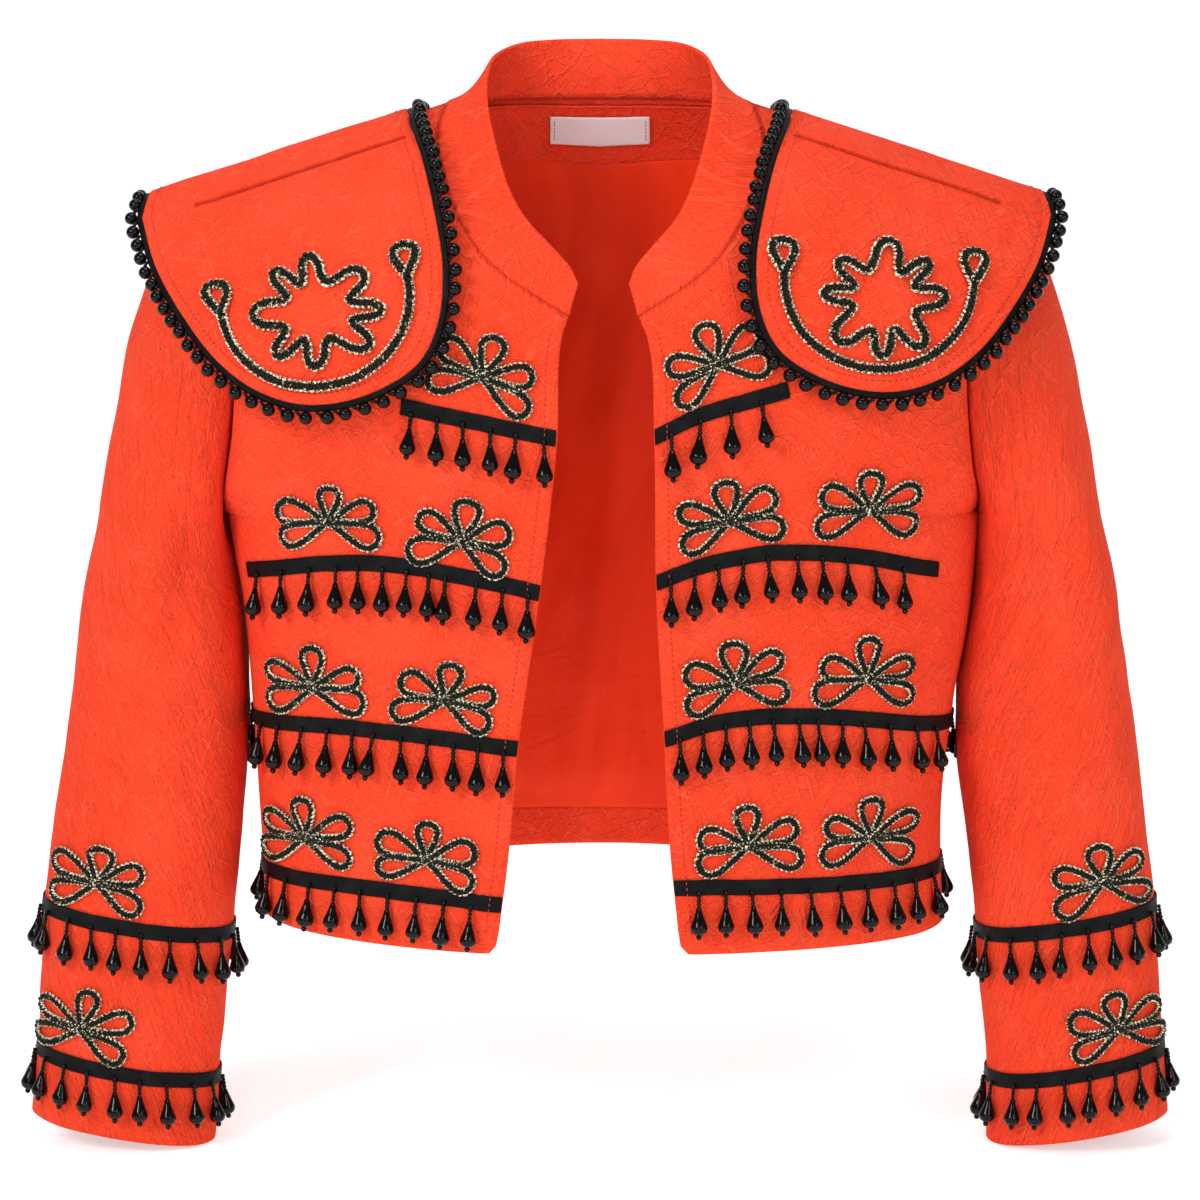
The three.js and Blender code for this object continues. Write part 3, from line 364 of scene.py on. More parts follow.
class Surface:
    """A sewn piece before it has thickness: a grid of points and their outward normals.

    Rows run up the piece and columns run across it.  ring says that the columns close on
    themselves; turned says that rows and columns run the left-handed way round.
    """

    def __init__(self, grid: Array, ring: bool = False, turned: bool = False,
                 steady: Array | None = None) -> None:
        """Keeps the grid and works out its normals; steady holds where they are known to point."""
        self.grid = grid
        self.steady = steady
        self.ring = ring
        self.turned = turned
        self.rows, self.columns = grid.shape[:2]
        self.plan: Array | None = None
        self.seam = np.full(grid.shape[:2], FAR)
        self.refresh()

    def refresh(self) -> None:
        """Works out each point's normal as the cross product of its two grid directions."""
        up = np.gradient(self.grid, axis=0)
        if self.ring:
            across = np.roll(self.grid, -1, axis=1) - np.roll(self.grid, 1, axis=1)
        else:
            across = np.gradient(self.grid, axis=1)
        way = -1.0 if self.turned else 1.0
        self.normals = unit(np.cross(across, up)) * way
        if self.steady is not None:
            agree = (self.normals * self.steady).sum(axis=-1, keepdims=True)
            self.normals = unit(lerp(self.steady, self.normals, smooth((agree - 0.6) / 0.3)))

    def push(self, height: Array) -> None:
        """Moves each point out along its normal by a height."""
        self.grid = self.grid + self.normals * height[..., None]
        self.refresh()

    def at(self, r: Array, c: Array, out: Array | float = 0.0) -> Array:
        """Points at fractional rows and columns, moved out along the normal."""
        point = self._mix(self.grid, r, c)
        return point + unit(self._mix(self.normals, r, c)) * np.asarray(out)[..., None]

    def normal(self, r: Array, c: Array) -> Array:
        """Normals at fractional rows and columns."""
        return unit(self._mix(self.normals, r, c))

    def _mix(self, field_: Array, r: Array, c: Array) -> Array:
        """Blends a grid of vectors between its four nearest places."""
        r = np.asarray(r, float)
        c = np.asarray(c, float)
        r0 = np.clip(np.floor(r).astype(int), 0, self.rows - 2)
        c0 = np.floor(c).astype(int)
        if not self.ring:
            c0 = np.clip(c0, 0, self.columns - 2)
        tr, tc = (r - r0)[..., None], (c - c0)[..., None]
        left, right = c0 % self.columns, (c0 + 1) % self.columns
        low = lerp(field_[r0, left], field_[r0, right], tc)
        high = lerp(field_[r0 + 1, left], field_[r0 + 1, right], tc)
        return lerp(low, high, tr)

    def row_at(self, c: Array, z: Array) -> Array:
        """The fractional row at which each column passes a height."""
        c, z = np.broadcast_arrays(np.asarray(c, float), np.asarray(z, float))
        every = np.arange(self.rows)[:, None]
        heights = self._mix(self.grid, np.broadcast_to(every, (self.rows, c.size)), c.reshape(1, -1))[..., 2]
        rising = heights[-1] > heights[0]
        signed = np.where(rising, heights, -heights)
        goal = np.where(rising, z.ravel(), -z.ravel())
        i = np.clip((signed < goal).sum(axis=0) - 1, 0, self.rows - 2)
        k = np.arange(c.size)
        low, high = signed[i, k], signed[i + 1, k]
        return (i + (goal - low) / (high - low)).reshape(c.shape)

    def locate(self, x: Array, z: Array, r: float, c: float) -> tuple[Array, Array]:
        """Rows and columns of the points that show at given x and z, by Newton steps.

        Args:
            x: places across.
            z: heights.
            r: row to start from.
            c: column to start from.

        Returns:
            Fractional rows and columns.
        """
        x, z = np.broadcast_arrays(np.asarray(x, float), np.asarray(z, float))
        row, column = np.full(x.shape, float(r)), np.full(x.shape, float(c))
        h = 0.5
        for _ in range(14):
            p = self.at(row, column)
            dr = (self.at(row + h, column) - p) / h
            dc = (self.at(row, column + h) - p) / h
            det = dr[..., 0] * dc[..., 2] - dc[..., 0] * dr[..., 2]
            det = np.where(np.abs(det) < 1e-6, 1e-6, det)
            ex, ez = x - p[..., 0], z - p[..., 2]
            row = row + np.clip((ex * dc[..., 2] - dc[..., 0] * ez) / det, -FINE, FINE)
            column = column + np.clip((dr[..., 0] * ez - ex * dr[..., 2]) / det, -FINE, FINE)
            row = np.clip(row, -0.5, self.rows - 0.5)
        return row, column

    def lengths(self) -> tuple[Array, Array]:
        """Lengths along the cloth, across from the first column and up from the first row."""
        grid = self.closed()
        across = np.linalg.norm(np.diff(grid, axis=1), axis=-1)
        up = np.linalg.norm(np.diff(grid, axis=0), axis=-1)
        u = np.concatenate([np.zeros((self.rows, 1)), np.cumsum(across, axis=1)], axis=1)
        v = np.concatenate([np.zeros((1, grid.shape[1])), np.cumsum(up, axis=0)], axis=0)
        return u, v

    def closed(self) -> Array:
        """The grid, with its first column again at the end where it closes on itself."""
        return np.concatenate([self.grid, self.grid[:, :1]], axis=1) if self.ring else self.grid

    def lay_plan(self, across: Array, from_top: bool = False) -> None:
        """Lays the weave: a given distance across, and the length over y and z from one end."""
        depth = np.linalg.norm(np.diff(self.closed()[..., 1:], axis=0), axis=-1)
        run = np.concatenate([np.zeros((1, depth.shape[1])), np.cumsum(depth, axis=0)])
        run = run - run[-1:] if from_top else run
        self.plan = np.stack([np.broadcast_to(across, run.shape), run], axis=-1)

    def room(self) -> Array:
        """How much room a column has for folds: 0 where its rows crowd together, 1 in the open."""
        _, v = self.lengths()
        return smooth(v[-1, : self.columns] / 75.0)

    def flat(self) -> tuple[float, float, float]:
        """The cut of the piece: its width, its length and its area, in metres."""
        u, v = self.lengths()
        grid = self.closed()
        one = np.cross(grid[1:, 1:] - grid[:-1, :-1], grid[1:, :-1] - grid[:-1, 1:])
        area = np.linalg.norm(one, axis=-1).sum() / 2
        return float(u[:, -1].max() * MM), float(v[-1].max() * MM), float(area * MM * MM)

    def edge_distance(self, edges: str) -> Array:
        """Distance along the cloth from the nearest of the named edges.

        Args:
            edges: letters from b, t, s and e for the bottom, top, start and end edges.

        Returns:
            One distance a point.
        """
        u, v = self.lengths()
        u, v = u[:, : self.columns], v[:, : self.columns]
        parts = {"b": v, "t": v[-1:] - v, "s": u, "e": u[:, -1:] - u}
        return np.minimum.reduce([parts[letter] for letter in edges])


@dataclass(frozen=True)
class Crease:
    """A soft trough or ridge from one place to another, by x and z, on the front or back."""

    x0: float
    z0: float
    x1: float
    z1: float
    width: float
    depth: float
    face: int = -1

    def height(self, points: Array) -> Array:
        """Depth at each point: a bell across the line, fading towards both its ends."""
        a = np.array([self.x0, self.z0])
        b = np.array([self.x1, self.z1])
        flat = points[..., [0, 2]]
        along = ((flat - a) @ (b - a)) / float((b - a) @ (b - a))
        bow = 0.12 * np.sin(np.clip(along, 0, 1) * math.pi)
        side = np.array([-(b - a)[1], (b - a)[0]])
        across = ((flat - a) @ side) / float(side @ side) - bow
        gap = across * float(np.linalg.norm(side))
        fade = smooth(np.clip(along, 0, 1) * 4) * smooth((1 - np.clip(along, 0, 1)) * 3)
        facing = (np.sign(points[..., 1]) == self.face) | (np.abs(points[..., 1]) < 12)
        inside = (along > 0) & (along < 1) & facing
        return np.where(inside, self.depth * np.exp(-((gap / self.width) ** 2)) * fade, 0.0)


def crumple(surface: Surface, creases: tuple[Crease, ...], seed: int, calm: float = 1.0,
            room: Array | float = 1.0) -> None:
    """Gives a surface its creases and an uneven drape.

    Args:
        surface: the piece, changed in place.
        creases: its listed troughs and ridges.
        seed: picks the uneven part.
        calm: scales the uneven part.
        room: scales everything, one share a column.
    """
    points = surface.grid
    height = 0.85 * soft_noise(points, 47, seed) + 0.36 * soft_noise(points, 19, seed + 1)
    height = height * calm
    for crease in creases:
        height = height + crease.height(points) * calm
    surface.push(height * room)


def sink_seam(surface: Surface, edges: str, depth: float = 1.1, width: float = 2.2,
              room: Array | float = 1.0) -> None:
    """Draws a surface in beside its seams, as a pressed seam does, and marks them."""
    surface.seam = np.minimum(surface.seam, surface.edge_distance(edges))
    surface.push(-depth * np.exp(-((surface.edge_distance(edges) / width) ** 2)) * room)


# ------------------------------------------------------------------ meshes


@dataclass(frozen=True)
class Finish:
    """A material and the finish in the record that it stands for."""

    material: bpy.types.Material
    slot: Slot


@dataclass
class Shape:
    """A mesh being made: points in millimetres, quads, and what the corners carry."""

    points: Array
    quads: Array
    uv: Array | None = None
    marks: dict[str, Array] = field(default_factory=dict)

    @staticmethod
    def join(shapes: list["Shape"]) -> "Shape":
        """One shape of several, side by side."""
        starts = np.cumsum([0] + [len(s.points) for s in shapes[:-1]])
        marks = {
            name: np.concatenate([s.marks[name] for s in shapes]) for name in shapes[0].marks
        }
        return Shape(
            np.concatenate([s.points for s in shapes]),
            np.concatenate([s.quads + start for s, start in zip(shapes, starts)]),
            None if shapes[0].uv is None else np.concatenate([s.uv for s in shapes]),
            marks,
        )


def sheet_shape(surface: Surface, thickness: float, out: float = 0.0) -> Shape:
    """Closed wall of a surface: outer face, inner face and a rounded rim between them.

    Args:
        surface: the piece.
        thickness: of the wall, inwards from the surface moved out.
        out: how far the wall's outer face stands off the surface.

    Returns:
        The wall, with lengths along the cloth as its UV in metres.
    """
    rows, real = surface.rows, surface.columns
    columns = real + 1 if surface.ring else real
    ids = np.arange(rows)[:, None] * real + np.arange(columns)[None, :] % real
    u, v = surface.lengths()
    plan = np.stack([u, v], axis=-1) if surface.plan is None else surface.plan
    uv_grid = (plan * MM).reshape(-1, 2)
    outer = (surface.grid + surface.normals * out).reshape(-1, 3)
    inner = (surface.grid + surface.normals * (out - thickness)).reshape(-1, 3)
    total = rows * real
    r, c = cells(rows - 1, columns - 1)
    corner_r = np.stack([r, r, r + 1, r + 1], axis=1)
    corner_c = np.stack([c, c + 1, c + 1, c], axis=1)
    face = ids[corner_r, corner_c]
    spot = corner_r * columns + corner_c
    quads = [face, face[:, ::-1] + total]
    places = [spot, spot[:, ::-1]]
    if surface.ring:
        around = np.arange(real + 1)
        loops = [(np.zeros_like(around), around), (np.full_like(around, rows - 1), around[::-1])]
    else:
        a, b = np.arange(columns - 1), np.arange(rows - 1)
        loop_r = np.concatenate([np.zeros_like(a), b, np.full_like(a, rows - 1), b[::-1] + 1, [0]])
        loop_c = np.concatenate([a, np.full_like(b, columns - 1), a[::-1] + 1, np.zeros_like(b), [0]])
        loops = [(loop_r, loop_c)]
    points = [outer, inner]
    seams = [surface.seam.ravel(), surface.seam.ravel()]
    base = 2 * total
    for loop_r, loop_c in loops:
        edge = ids[loop_r, loop_c]
        mark = loop_r * columns + loop_c
        ring = edge[:-1]
        tangent = outer[np.roll(ring, -1)] - outer[np.roll(ring, 1)]
        away = unit(np.cross(tangent, surface.normals.reshape(-1, 3)[ring]))
        away = away * (-1.0 if surface.turned else 1.0)
        points.append((outer[ring] + inner[ring]) / 2 + away * thickness * 0.35)
        seams.append(surface.seam.ravel()[ring])
        count = len(ring)
        k = np.arange(count)
        following = (k + 1) % count
        middle = base + k
        after = base + following
        quads.append(np.stack([edge[1:], edge[:-1], middle, after], axis=1))
        quads.append(np.stack([after, middle, edge[:-1] + total, edge[1:] + total], axis=1))
        pair = np.stack([mark[1:], mark[:-1], mark[:-1], mark[1:]], axis=1)
        places.extend([pair, pair])
        base += count
    every = np.concatenate(quads)
    where = np.concatenate(places)
    if surface.turned:
        every, where = every[:, ::-1], where[:, ::-1]
    return Shape(np.concatenate(points), every, uv_grid[where], {"seam": np.concatenate(seams)})


def tube_shape(path: Array, sideways: Array, upward: Array, radius: Array | float, sides: int,
               closed: bool, flatten: float = 1.0) -> Shape:
    """A round profile carried along a path.

    Each ring is the path's point plus radius times cosine of the turn sideways and sine of
    the turn upward.  An open tube ends in a point at each end.

    Args:
        path: points along the middle.
        sideways: unit vectors across the path.
        upward: unit vectors off the cloth.
        radius: of the profile, one or one for each point.
        sides: of the profile.
        closed: whether the path meets itself.
        flatten: height of the profile as a share of its width.

    Returns:
        The tube, with u round it and v along it in metres.
    """
    turn = np.arange(sides) * 2 * math.pi / sides
    size = np.broadcast_to(np.asarray(radius, float), (len(path),))[:, None, None]
    ring = (
        path[:, None, :]
        + size * np.cos(turn)[None, :, None] * sideways[:, None, :]
        + size * flatten * np.sin(turn)[None, :, None] * upward[:, None, :]
    )
    if not closed:
        ring[0] = path[0]
        ring[-1] = path[-1]
    count = len(path)
    spans = count if closed else count - 1
    r, c = cells(spans, sides)
    r_next, c_next = (r + 1) % count, (c + 1) % sides
    low, high = r * sides, r_next * sides
    quads = np.stack([low + c, low + c_next, high + c_next, high + c], axis=1)
    tangent = np.roll(path, -1, axis=0)[1] - path[1]
    if np.dot(np.cross(sideways[1], upward[1]), tangent) < 0:
        quads = quads[:, ::-1]
    step = np.linalg.norm(np.diff(path, axis=0, append=path[:1]), axis=-1)
    run = np.concatenate([[0], np.cumsum(step)[:-1]]) * MM
    turn_share = np.stack([c, c + 1, c + 1, c], axis=1) / sides
    along = run[np.stack([r, r, r_next, r_next], axis=1)]
    return Shape(ring.reshape(-1, 3), quads, np.stack([turn_share, along], axis=-1))


def lathe_shape(profile: Array, sides: int) -> Shape:
    """A profile of (radius, height) pairs turned round Z, its two ends closed to a point."""
    turn = np.arange(sides) * 2 * math.pi / sides
    radius, height = profile[:, 0][:, None], profile[:, 1][:, None]
    ring = stack(radius * np.cos(turn), radius * np.sin(turn), height + 0 * turn)
    r, c = cells(len(profile) - 1, sides)
    c_next = (c + 1) % sides
    low, high = r * sides, (r + 1) * sides
    quads = np.stack([low + c, high + c, high + c_next, low + c_next], axis=1)
    rises = profile[-1, 1] > profile[0, 1]
    return Shape(ring.reshape(-1, 3), quads[:, ::-1] if rises else quads)


def copies(shape: Shape, centres: Array, frames: Array, scale: Array | float = 1.0) -> Shape:
    """Copies of a shape at several places.

    Args:
        shape: what is copied.
        centres: one place a copy.
        frames: one matrix a copy, whose rows are its X, Y and Z axes.
        scale: one size for all, or one a copy.

    Returns:
        All copies as one shape.
    """
    size = np.broadcast_to(np.asarray(scale, float), (len(centres),))[:, None, None]
    placed = (shape.points[None] * size) @ frames + centres[:, None, :]
    shift = np.arange(len(centres))[:, None, None] * len(shape.points)
    return Shape(placed.reshape(-1, 3), (shape.quads[None] + shift).reshape(-1, 4))


def make_piece(name: str, shape: Shape, finish: Finish, *nodes: str, weld: bool = True) -> bpy.types.Object:
    """Turns a shape into a finished object that rides on the jacket.

    Args:
        name: of the piece.
        shape: its mesh, in millimetres.
        finish: its material and the finish's name in the record.
        nodes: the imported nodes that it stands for.
        weld: whether points that fall together are merged.

    Returns:
        The object.
    """
    mesh = bpy.data.meshes.new(name)
    mesh.from_pydata((shape.points * MM).tolist(), [], shape.quads.tolist())
    if shape.uv is not None:
        layer = mesh.uv_layers.new(name="Cloth")
        layer.data.foreach_set("uv", shape.uv.reshape(-1).astype(np.float32))
    for key, values in shape.marks.items():
        attribute = mesh.attributes.new(key, "FLOAT", "POINT")
        attribute.data.foreach_set("value", values.astype(np.float32))
    mesh.polygons.foreach_set("use_smooth", np.ones(len(mesh.polygons), bool))
    mesh.materials.append(finish.material)
    mesh.update()
    if weld:
        clean(mesh)
    piece = bpy.data.objects.new(name, mesh)
    bpy.context.scene.collection.objects.link(piece)
    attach(piece, ROOT)
    if nodes:
        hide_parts(*nodes)
    LOG.info("%s: %d faces", name, len(mesh.polygons))
    return piece


def make_cloth(name: str, surface: Surface, thickness: float, finish: Finish, node: str) -> bpy.types.Object:
    """Makes the closed wall of a surface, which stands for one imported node."""
    return make_piece(name, sheet_shape(surface, thickness), finish, node, weld=False)


def clean(mesh: bpy.types.Mesh, distance: float = 2e-6) -> None:
    """Merges the doubled points at poles and drops the faces that fold to nothing."""
    work = bmesh.new()
    work.from_mesh(mesh)
    bmesh.ops.remove_doubles(work, verts=work.verts, dist=distance)
    bmesh.ops.dissolve_degenerate(work, edges=work.edges, dist=distance / 4)
    work.to_mesh(mesh)
    work.free()


# ------------------------------------------------------------------ finishes


class Graph:
    """A short way to write a material's nodes."""

    def __init__(self, name: str) -> None:
        """Starts a material with one principled shader."""
        self.material = bpy.data.materials.new(name)
        self.material.use_nodes = True
        self.tree = self.material.node_tree
        self.tree.nodes.clear()
        self.shader = self.tree.nodes.new("ShaderNodeBsdfPrincipled")
        output = self.tree.nodes.new("ShaderNodeOutputMaterial")
        self.tree.links.new(self.shader.outputs[0], output.inputs["Surface"])

    def node(self, kind: str, **settings: object) -> bpy.types.Node:
        """Adds a node of a kind with its settings."""
        made = self.tree.nodes.new(kind)
        for key, value in settings.items():
            setattr(made, key, value)
        return made

    def put(self, socket: bpy.types.NodeSocket, value: object) -> None:
        """Sets a socket to a number or links it to another node's output."""
        if isinstance(value, bpy.types.NodeSocket):
            self.tree.links.new(value, socket)
        else:
            socket.default_value = value

    def math(self, operation: str, *values: object) -> bpy.types.NodeSocket:
        """A number worked out from others."""
        made = self.node("ShaderNodeMath", operation=operation)
        for socket, value in zip(made.inputs, values):
            self.put(socket, value)
        return made.outputs[0]

    def span(self, value: object, low: float, high: float, to_low: float = 0.0,
             to_high: float = 1.0) -> bpy.types.NodeSocket:
        """A number carried smoothly from one range to another."""
        made = self.node("ShaderNodeMapRange", interpolation_type="SMOOTHSTEP")
        for socket, number in zip(made.inputs, (value, low, high, to_low, to_high)):
            self.put(socket, number)
        return made.outputs[0]

    def mix(self, share: object, a: object, b: object) -> bpy.types.NodeSocket:
        """A colour between two others."""
        made = self.node("ShaderNodeMix", data_type="RGBA")
        self.put(made.inputs[0], share)
        self.put(made.inputs[6], a if isinstance(a, bpy.types.NodeSocket) else (*a, 1.0))
        self.put(made.inputs[7], b if isinstance(b, bpy.types.NodeSocket) else (*b, 1.0))
        return made.outputs[2]

    def cloth(self) -> bpy.types.NodeSocket:
        """The piece's own lengths along the cloth, in metres."""
        return self.node("ShaderNodeUVMap", uv_map="Cloth").outputs[0]

    def place(self) -> bpy.types.NodeSocket:
        """Object coordinates, in metres."""
        return self.node("ShaderNodeTexCoord").outputs["Object"]

    def mapped(self, vector: object, scale: tuple[float, float, float],
               turn: float = 0.0) -> bpy.types.NodeSocket:
        """Coordinates turned and then scaled."""
        turned = self.node("ShaderNodeMapping", vector_type="POINT")
        self.put(turned.inputs["Vector"], vector)
        turned.inputs["Rotation"].default_value = (0.0, 0.0, turn)
        scaled = self.node("ShaderNodeMapping", vector_type="POINT")
        self.put(scaled.inputs["Vector"], turned.outputs[0])
        scaled.inputs["Scale"].default_value = scale
        return scaled.outputs[0]

    def noise(self, vector: object, scale: float, detail: float = 2.0, rough: float = 0.5,
              bend: float = 0.0) -> bpy.types.NodeSocket:
        """The value of a noise texture."""
        made = self.node("ShaderNodeTexNoise")
        self.put(made.inputs["Vector"], vector)
        made.inputs["Scale"].default_value = scale
        made.inputs["Detail"].default_value = detail
        made.inputs["Roughness"].default_value = rough
        made.inputs["Distortion"].default_value = bend
        return made.outputs["Fac"]

    def bump(self, height: object, distance: float, strength: float = 1.0,
             below: object = None) -> bpy.types.NodeSocket:
        """A normal bent by a height; distance is the depth in metres of a height of one."""
        made = self.node("ShaderNodeBump")
        made.inputs["Strength"].default_value = strength
        made.inputs["Distance"].default_value = distance
        self.put(made.inputs["Height"], height)
        if below is not None:
            self.put(made.inputs["Normal"], below)
        return made.outputs[0]

    def shade(self, **values: object) -> None:
        """Sets or links the shader's sockets, by name with _ for a space."""
        for key, value in values.items():
            self.put(self.shader.inputs[key.replace("_", " ")], value)


def crinkled_crepe() -> bpy.types.Material:
    """Matte shell cloth: short raised creases lying every way over a fine uneven weave, with a painted
    highlight on the crease ridges and a painted shade line along the seams.
    """
    colour = (0.90, 0.067, 0.025)
    deep = (0.74, 0.036, 0.012)
    light = (0.96, 0.098, 0.042)
    seam_shade_colour = (0.30, 0.012, 0.005)
    crease_depth = 0.00044
    grain_depth = 0.00015
    turns = (0.55, -0.75, 1.3, -0.2, 2.25)
    g = Graph("crinkled crepe")
    cloth = g.cloth()
    height: object = 0.5
    for i, turn in enumerate(turns):
        along, across = 52.0 - 5.0 * i, 300.0 + 40.0 * i
        lines = g.noise(g.mapped(cloth, (along, across, 1.0), turn), 1.0, 0.6, 0.5, 0.12)
        height = g.math("ADD", height, g.span(lines, 0.60, 0.70))
        if i < 3:
            height = g.math("SUBTRACT", height, g.span(lines, 0.40, 0.30, 0.0, 0.5))
    puckers = g.noise(cloth, 230.0, 2.0, 0.55)
    body = g.math("MULTIPLY_ADD", puckers, 1.1, height)
    grit = g.noise(cloth, 980.0, 3.0, 0.7)
    weft = g.noise(g.mapped(cloth, (500.0, 1700.0, 1.0)), 1.0, 1.0, 0.6)
    grain = g.math("MULTIPLY_ADD", grit, 1.4, weft)
    seam = g.node("ShaderNodeAttribute", attribute_name="seam").outputs["Fac"]
    rolled = g.bump(g.span(seam, 0.0, 3.2), 0.0012, 1.0)
    soft = g.bump(body, crease_depth, 1.0, rolled)
    normal = g.bump(grain, grain_depth, 1.0, soft)
    cloudy = g.noise(g.place(), 21.0, 3.0)
    tone = g.mix(g.span(grit, 0.36, 0.62), deep, colour)
    tone = g.mix(g.span(cloudy, 0.4, 0.75, 0.0, 0.3), tone, light)
    # Painted highlight: the raised crease ridges are drawn in the paler colour, as though they catch the
    # light.
    tone = g.mix(g.span(height, 0.7, 1.7, 0.0, 0.45), tone, light)
    # Painted shade: the cloth is darkened in a thin line along each seam, where the pressed seam's groove
    # would lie in shadow.
    tone = g.mix(g.span(seam, 0.2, 0.9, 0.6, 0.0), tone, seam_shade_colour)
    rough = g.span(weft, 0.2, 0.8, 0.78, 0.92)
    g.shade(Base_Color=tone, Roughness=rough, Normal=normal)
    g.shade(Sheen_Weight=0.03, Sheen_Roughness=0.5, Sheen_Tint=(1.0, 0.5, 0.36, 1.0))
    g.shade(Specular_IOR_Level=0.06)
    return g.material


def satin_lining() -> bpy.types.Material:
    """Smooth lining: a close satin weave with long faint pulls and a low sheen."""
    colour = (0.90, 0.050, 0.009)
    deep = (0.80, 0.038, 0.006)
    g = Graph("satin lining")
    cloth = g.cloth()
    pulls = g.noise(g.mapped(cloth, (40.0, 9.0, 1.0), 0.25), 1.0, 3.0, 0.6, 0.6)
    weave = g.noise(g.mapped(cloth, (2600.0, 700.0, 1.0)), 1.0, 2.0)
    ripples = g.noise(g.mapped(cloth, (26.0, 60.0, 1.0), -0.3), 1.0, 3.0, 0.55, 1.2)
    soft = g.bump(g.math("MULTIPLY_ADD", ripples, 1.0, pulls), 0.0010, 0.9)
    normal = g.bump(weave, 0.00004, 0.6, soft)
    tone = g.mix(g.span(pulls, 0.3, 0.7), deep, colour)
    g.shade(Base_Color=tone, Roughness=g.span(weave, 0.2, 0.8, 0.40, 0.54), Normal=normal)
    g.shade(Sheen_Weight=0.02, Sheen_Roughness=0.4, Sheen_Tint=(1.0, 0.5, 0.4, 1.0))
    g.shade(Specular_IOR_Level=0.12, Anisotropic=0.35)
    return g.material


def ribbed_tape() -> bpy.types.Material:
    """Black ribbon: fine cross ribs, soft wrinkles and a worn satin sheen."""
    colour = (0.0035, 0.0038, 0.004)
    light = (0.009, 0.0092, 0.0094)
    g = Graph("ribbed tape")
    cloth = g.cloth()
    ribs = g.node("ShaderNodeTexWave", wave_type="BANDS", bands_direction="X")
    g.put(ribs.inputs["Vector"], cloth)
    ribs.inputs["Scale"].default_value = 420.0
    ribs.inputs["Distortion"].default_value = 0.6
    wrinkles = g.noise(g.mapped(cloth, (150.0, 45.0, 1.0), 0.2), 1.0, 3.0, 0.6, 0.8)
    rubbed = g.noise(cloth, 90.0, 3.0)
    soft = g.bump(wrinkles, 0.0011, 0.8)
    normal = g.bump(ribs.outputs["Fac"], 0.00007, 0.7, soft)
    tone = g.mix(g.span(rubbed, 0.4, 0.75), colour, light)
    g.shade(Base_Color=tone, Roughness=g.span(rubbed, 0.3, 0.7, 0.42, 0.58), Normal=normal)
    g.shade(Specular_IOR_Level=0.08)
    return g.material


def gilt_braid() -> bpy.types.Material:
    """Dark plaited cord whose outer edges carry a broken pale gold thread, with painted glints of gold
    scattered over it.
    """
    dark = (0.0050, 0.0062, 0.0040)
    olive = (0.022, 0.024, 0.013)
    gold = (0.66, 0.52, 0.29)
    cream = (0.92, 0.84, 0.64)
    g = Graph("gilt edged braid")
    edge = g.node("ShaderNodeAttribute", attribute_name="edge").outputs["Fac"]
    strand = g.node("ShaderNodeUVMap", uv_map="Cloth").outputs[0]
    fibres = g.noise(g.mapped(strand, (7.0, 900.0, 1.0), 0.0), 1.0, 2.0, 0.6)
    broken = g.noise(g.place(), 900.0, 2.0, 0.6)
    glint_noise = g.noise(g.place(), 330.0, 2.0)
    line = g.math("ADD", edge, g.span(broken, 0.36, 0.64, -0.30, 0.12))
    gilt = g.span(line, 0.57, 0.66)
    # Painted highlight: scattered glints drawn in the pale gold over the whole braid, added to the gold
    # thread's mask.
    glint = g.span(glint_noise, 0.66, 0.70)
    gilt = g.math("MAXIMUM", gilt, g.math("MULTIPLY", glint, 0.6))
    body = g.mix(g.span(fibres, 0.35, 0.7), dark, olive)
    thread = g.mix(g.span(broken, 0.35, 0.65), gold, cream)
    g.shade(Base_Color=g.mix(gilt, body, thread), Roughness=g.span(gilt, 0.0, 1.0, 0.40, 0.46))
    g.shade(Metallic=g.math("MULTIPLY", gilt, 0.2), Specular_IOR_Level=0.12)
    g.shade(Normal=g.bump(fibres, 0.00022, 0.8))
    return g.material


def jet_bead() -> bpy.types.Material:
    """Glossy black beads, each with faint cloudiness so that no two shine alike."""
    colour = (0.0016, 0.0016, 0.0018)
    g = Graph("jet bead")
    cloud = g.noise(g.place(), 160.0, 2.0)
    g.shade(Base_Color=(*colour, 1.0), Roughness=g.span(cloud, 0.3, 0.7, 0.06, 0.12))
    g.shade(Specular_IOR_Level=0.2)
    g.shade(Normal=g.bump(cloud, 0.0002, 0.25))
    return g.material


def woven_label() -> bpy.types.Material:
    """Bare off-white ribbon: a close weave across, a little greyed with wear."""
    colour = (0.90, 0.89, 0.88)
    shade_colour = (0.80, 0.78, 0.76)
    g = Graph("bare woven label")
    cloth = g.cloth()
    weave = g.noise(g.mapped(cloth, (900.0, 2600.0, 1.0)), 1.0, 2.0)
    soft = g.noise(cloth, 110.0, 3.0)
    tone = g.mix(g.span(weave, 0.35, 0.7), shade_colour, colour)
    normal = g.bump(weave, 0.00012, 0.8, g.bump(soft, 0.0008, 0.6))
    g.shade(Base_Color=tone, Roughness=0.62, Normal=normal, Sheen_Weight=0.1)
    return g.material


def sewing_thread(name: str, colour: Colour) -> bpy.types.Material:
    """Twisted thread in one colour."""
    g = Graph(name)
    twist = g.noise(g.place(), 2400.0, 1.0)
    tone = g.mix(g.span(twist, 0.3, 0.7), tuple(0.6 * v for v in colour), colour)
    g.shade(Base_Color=tone, Roughness=0.55, Normal=g.bump(twist, 0.0001, 0.6))
    return g.material


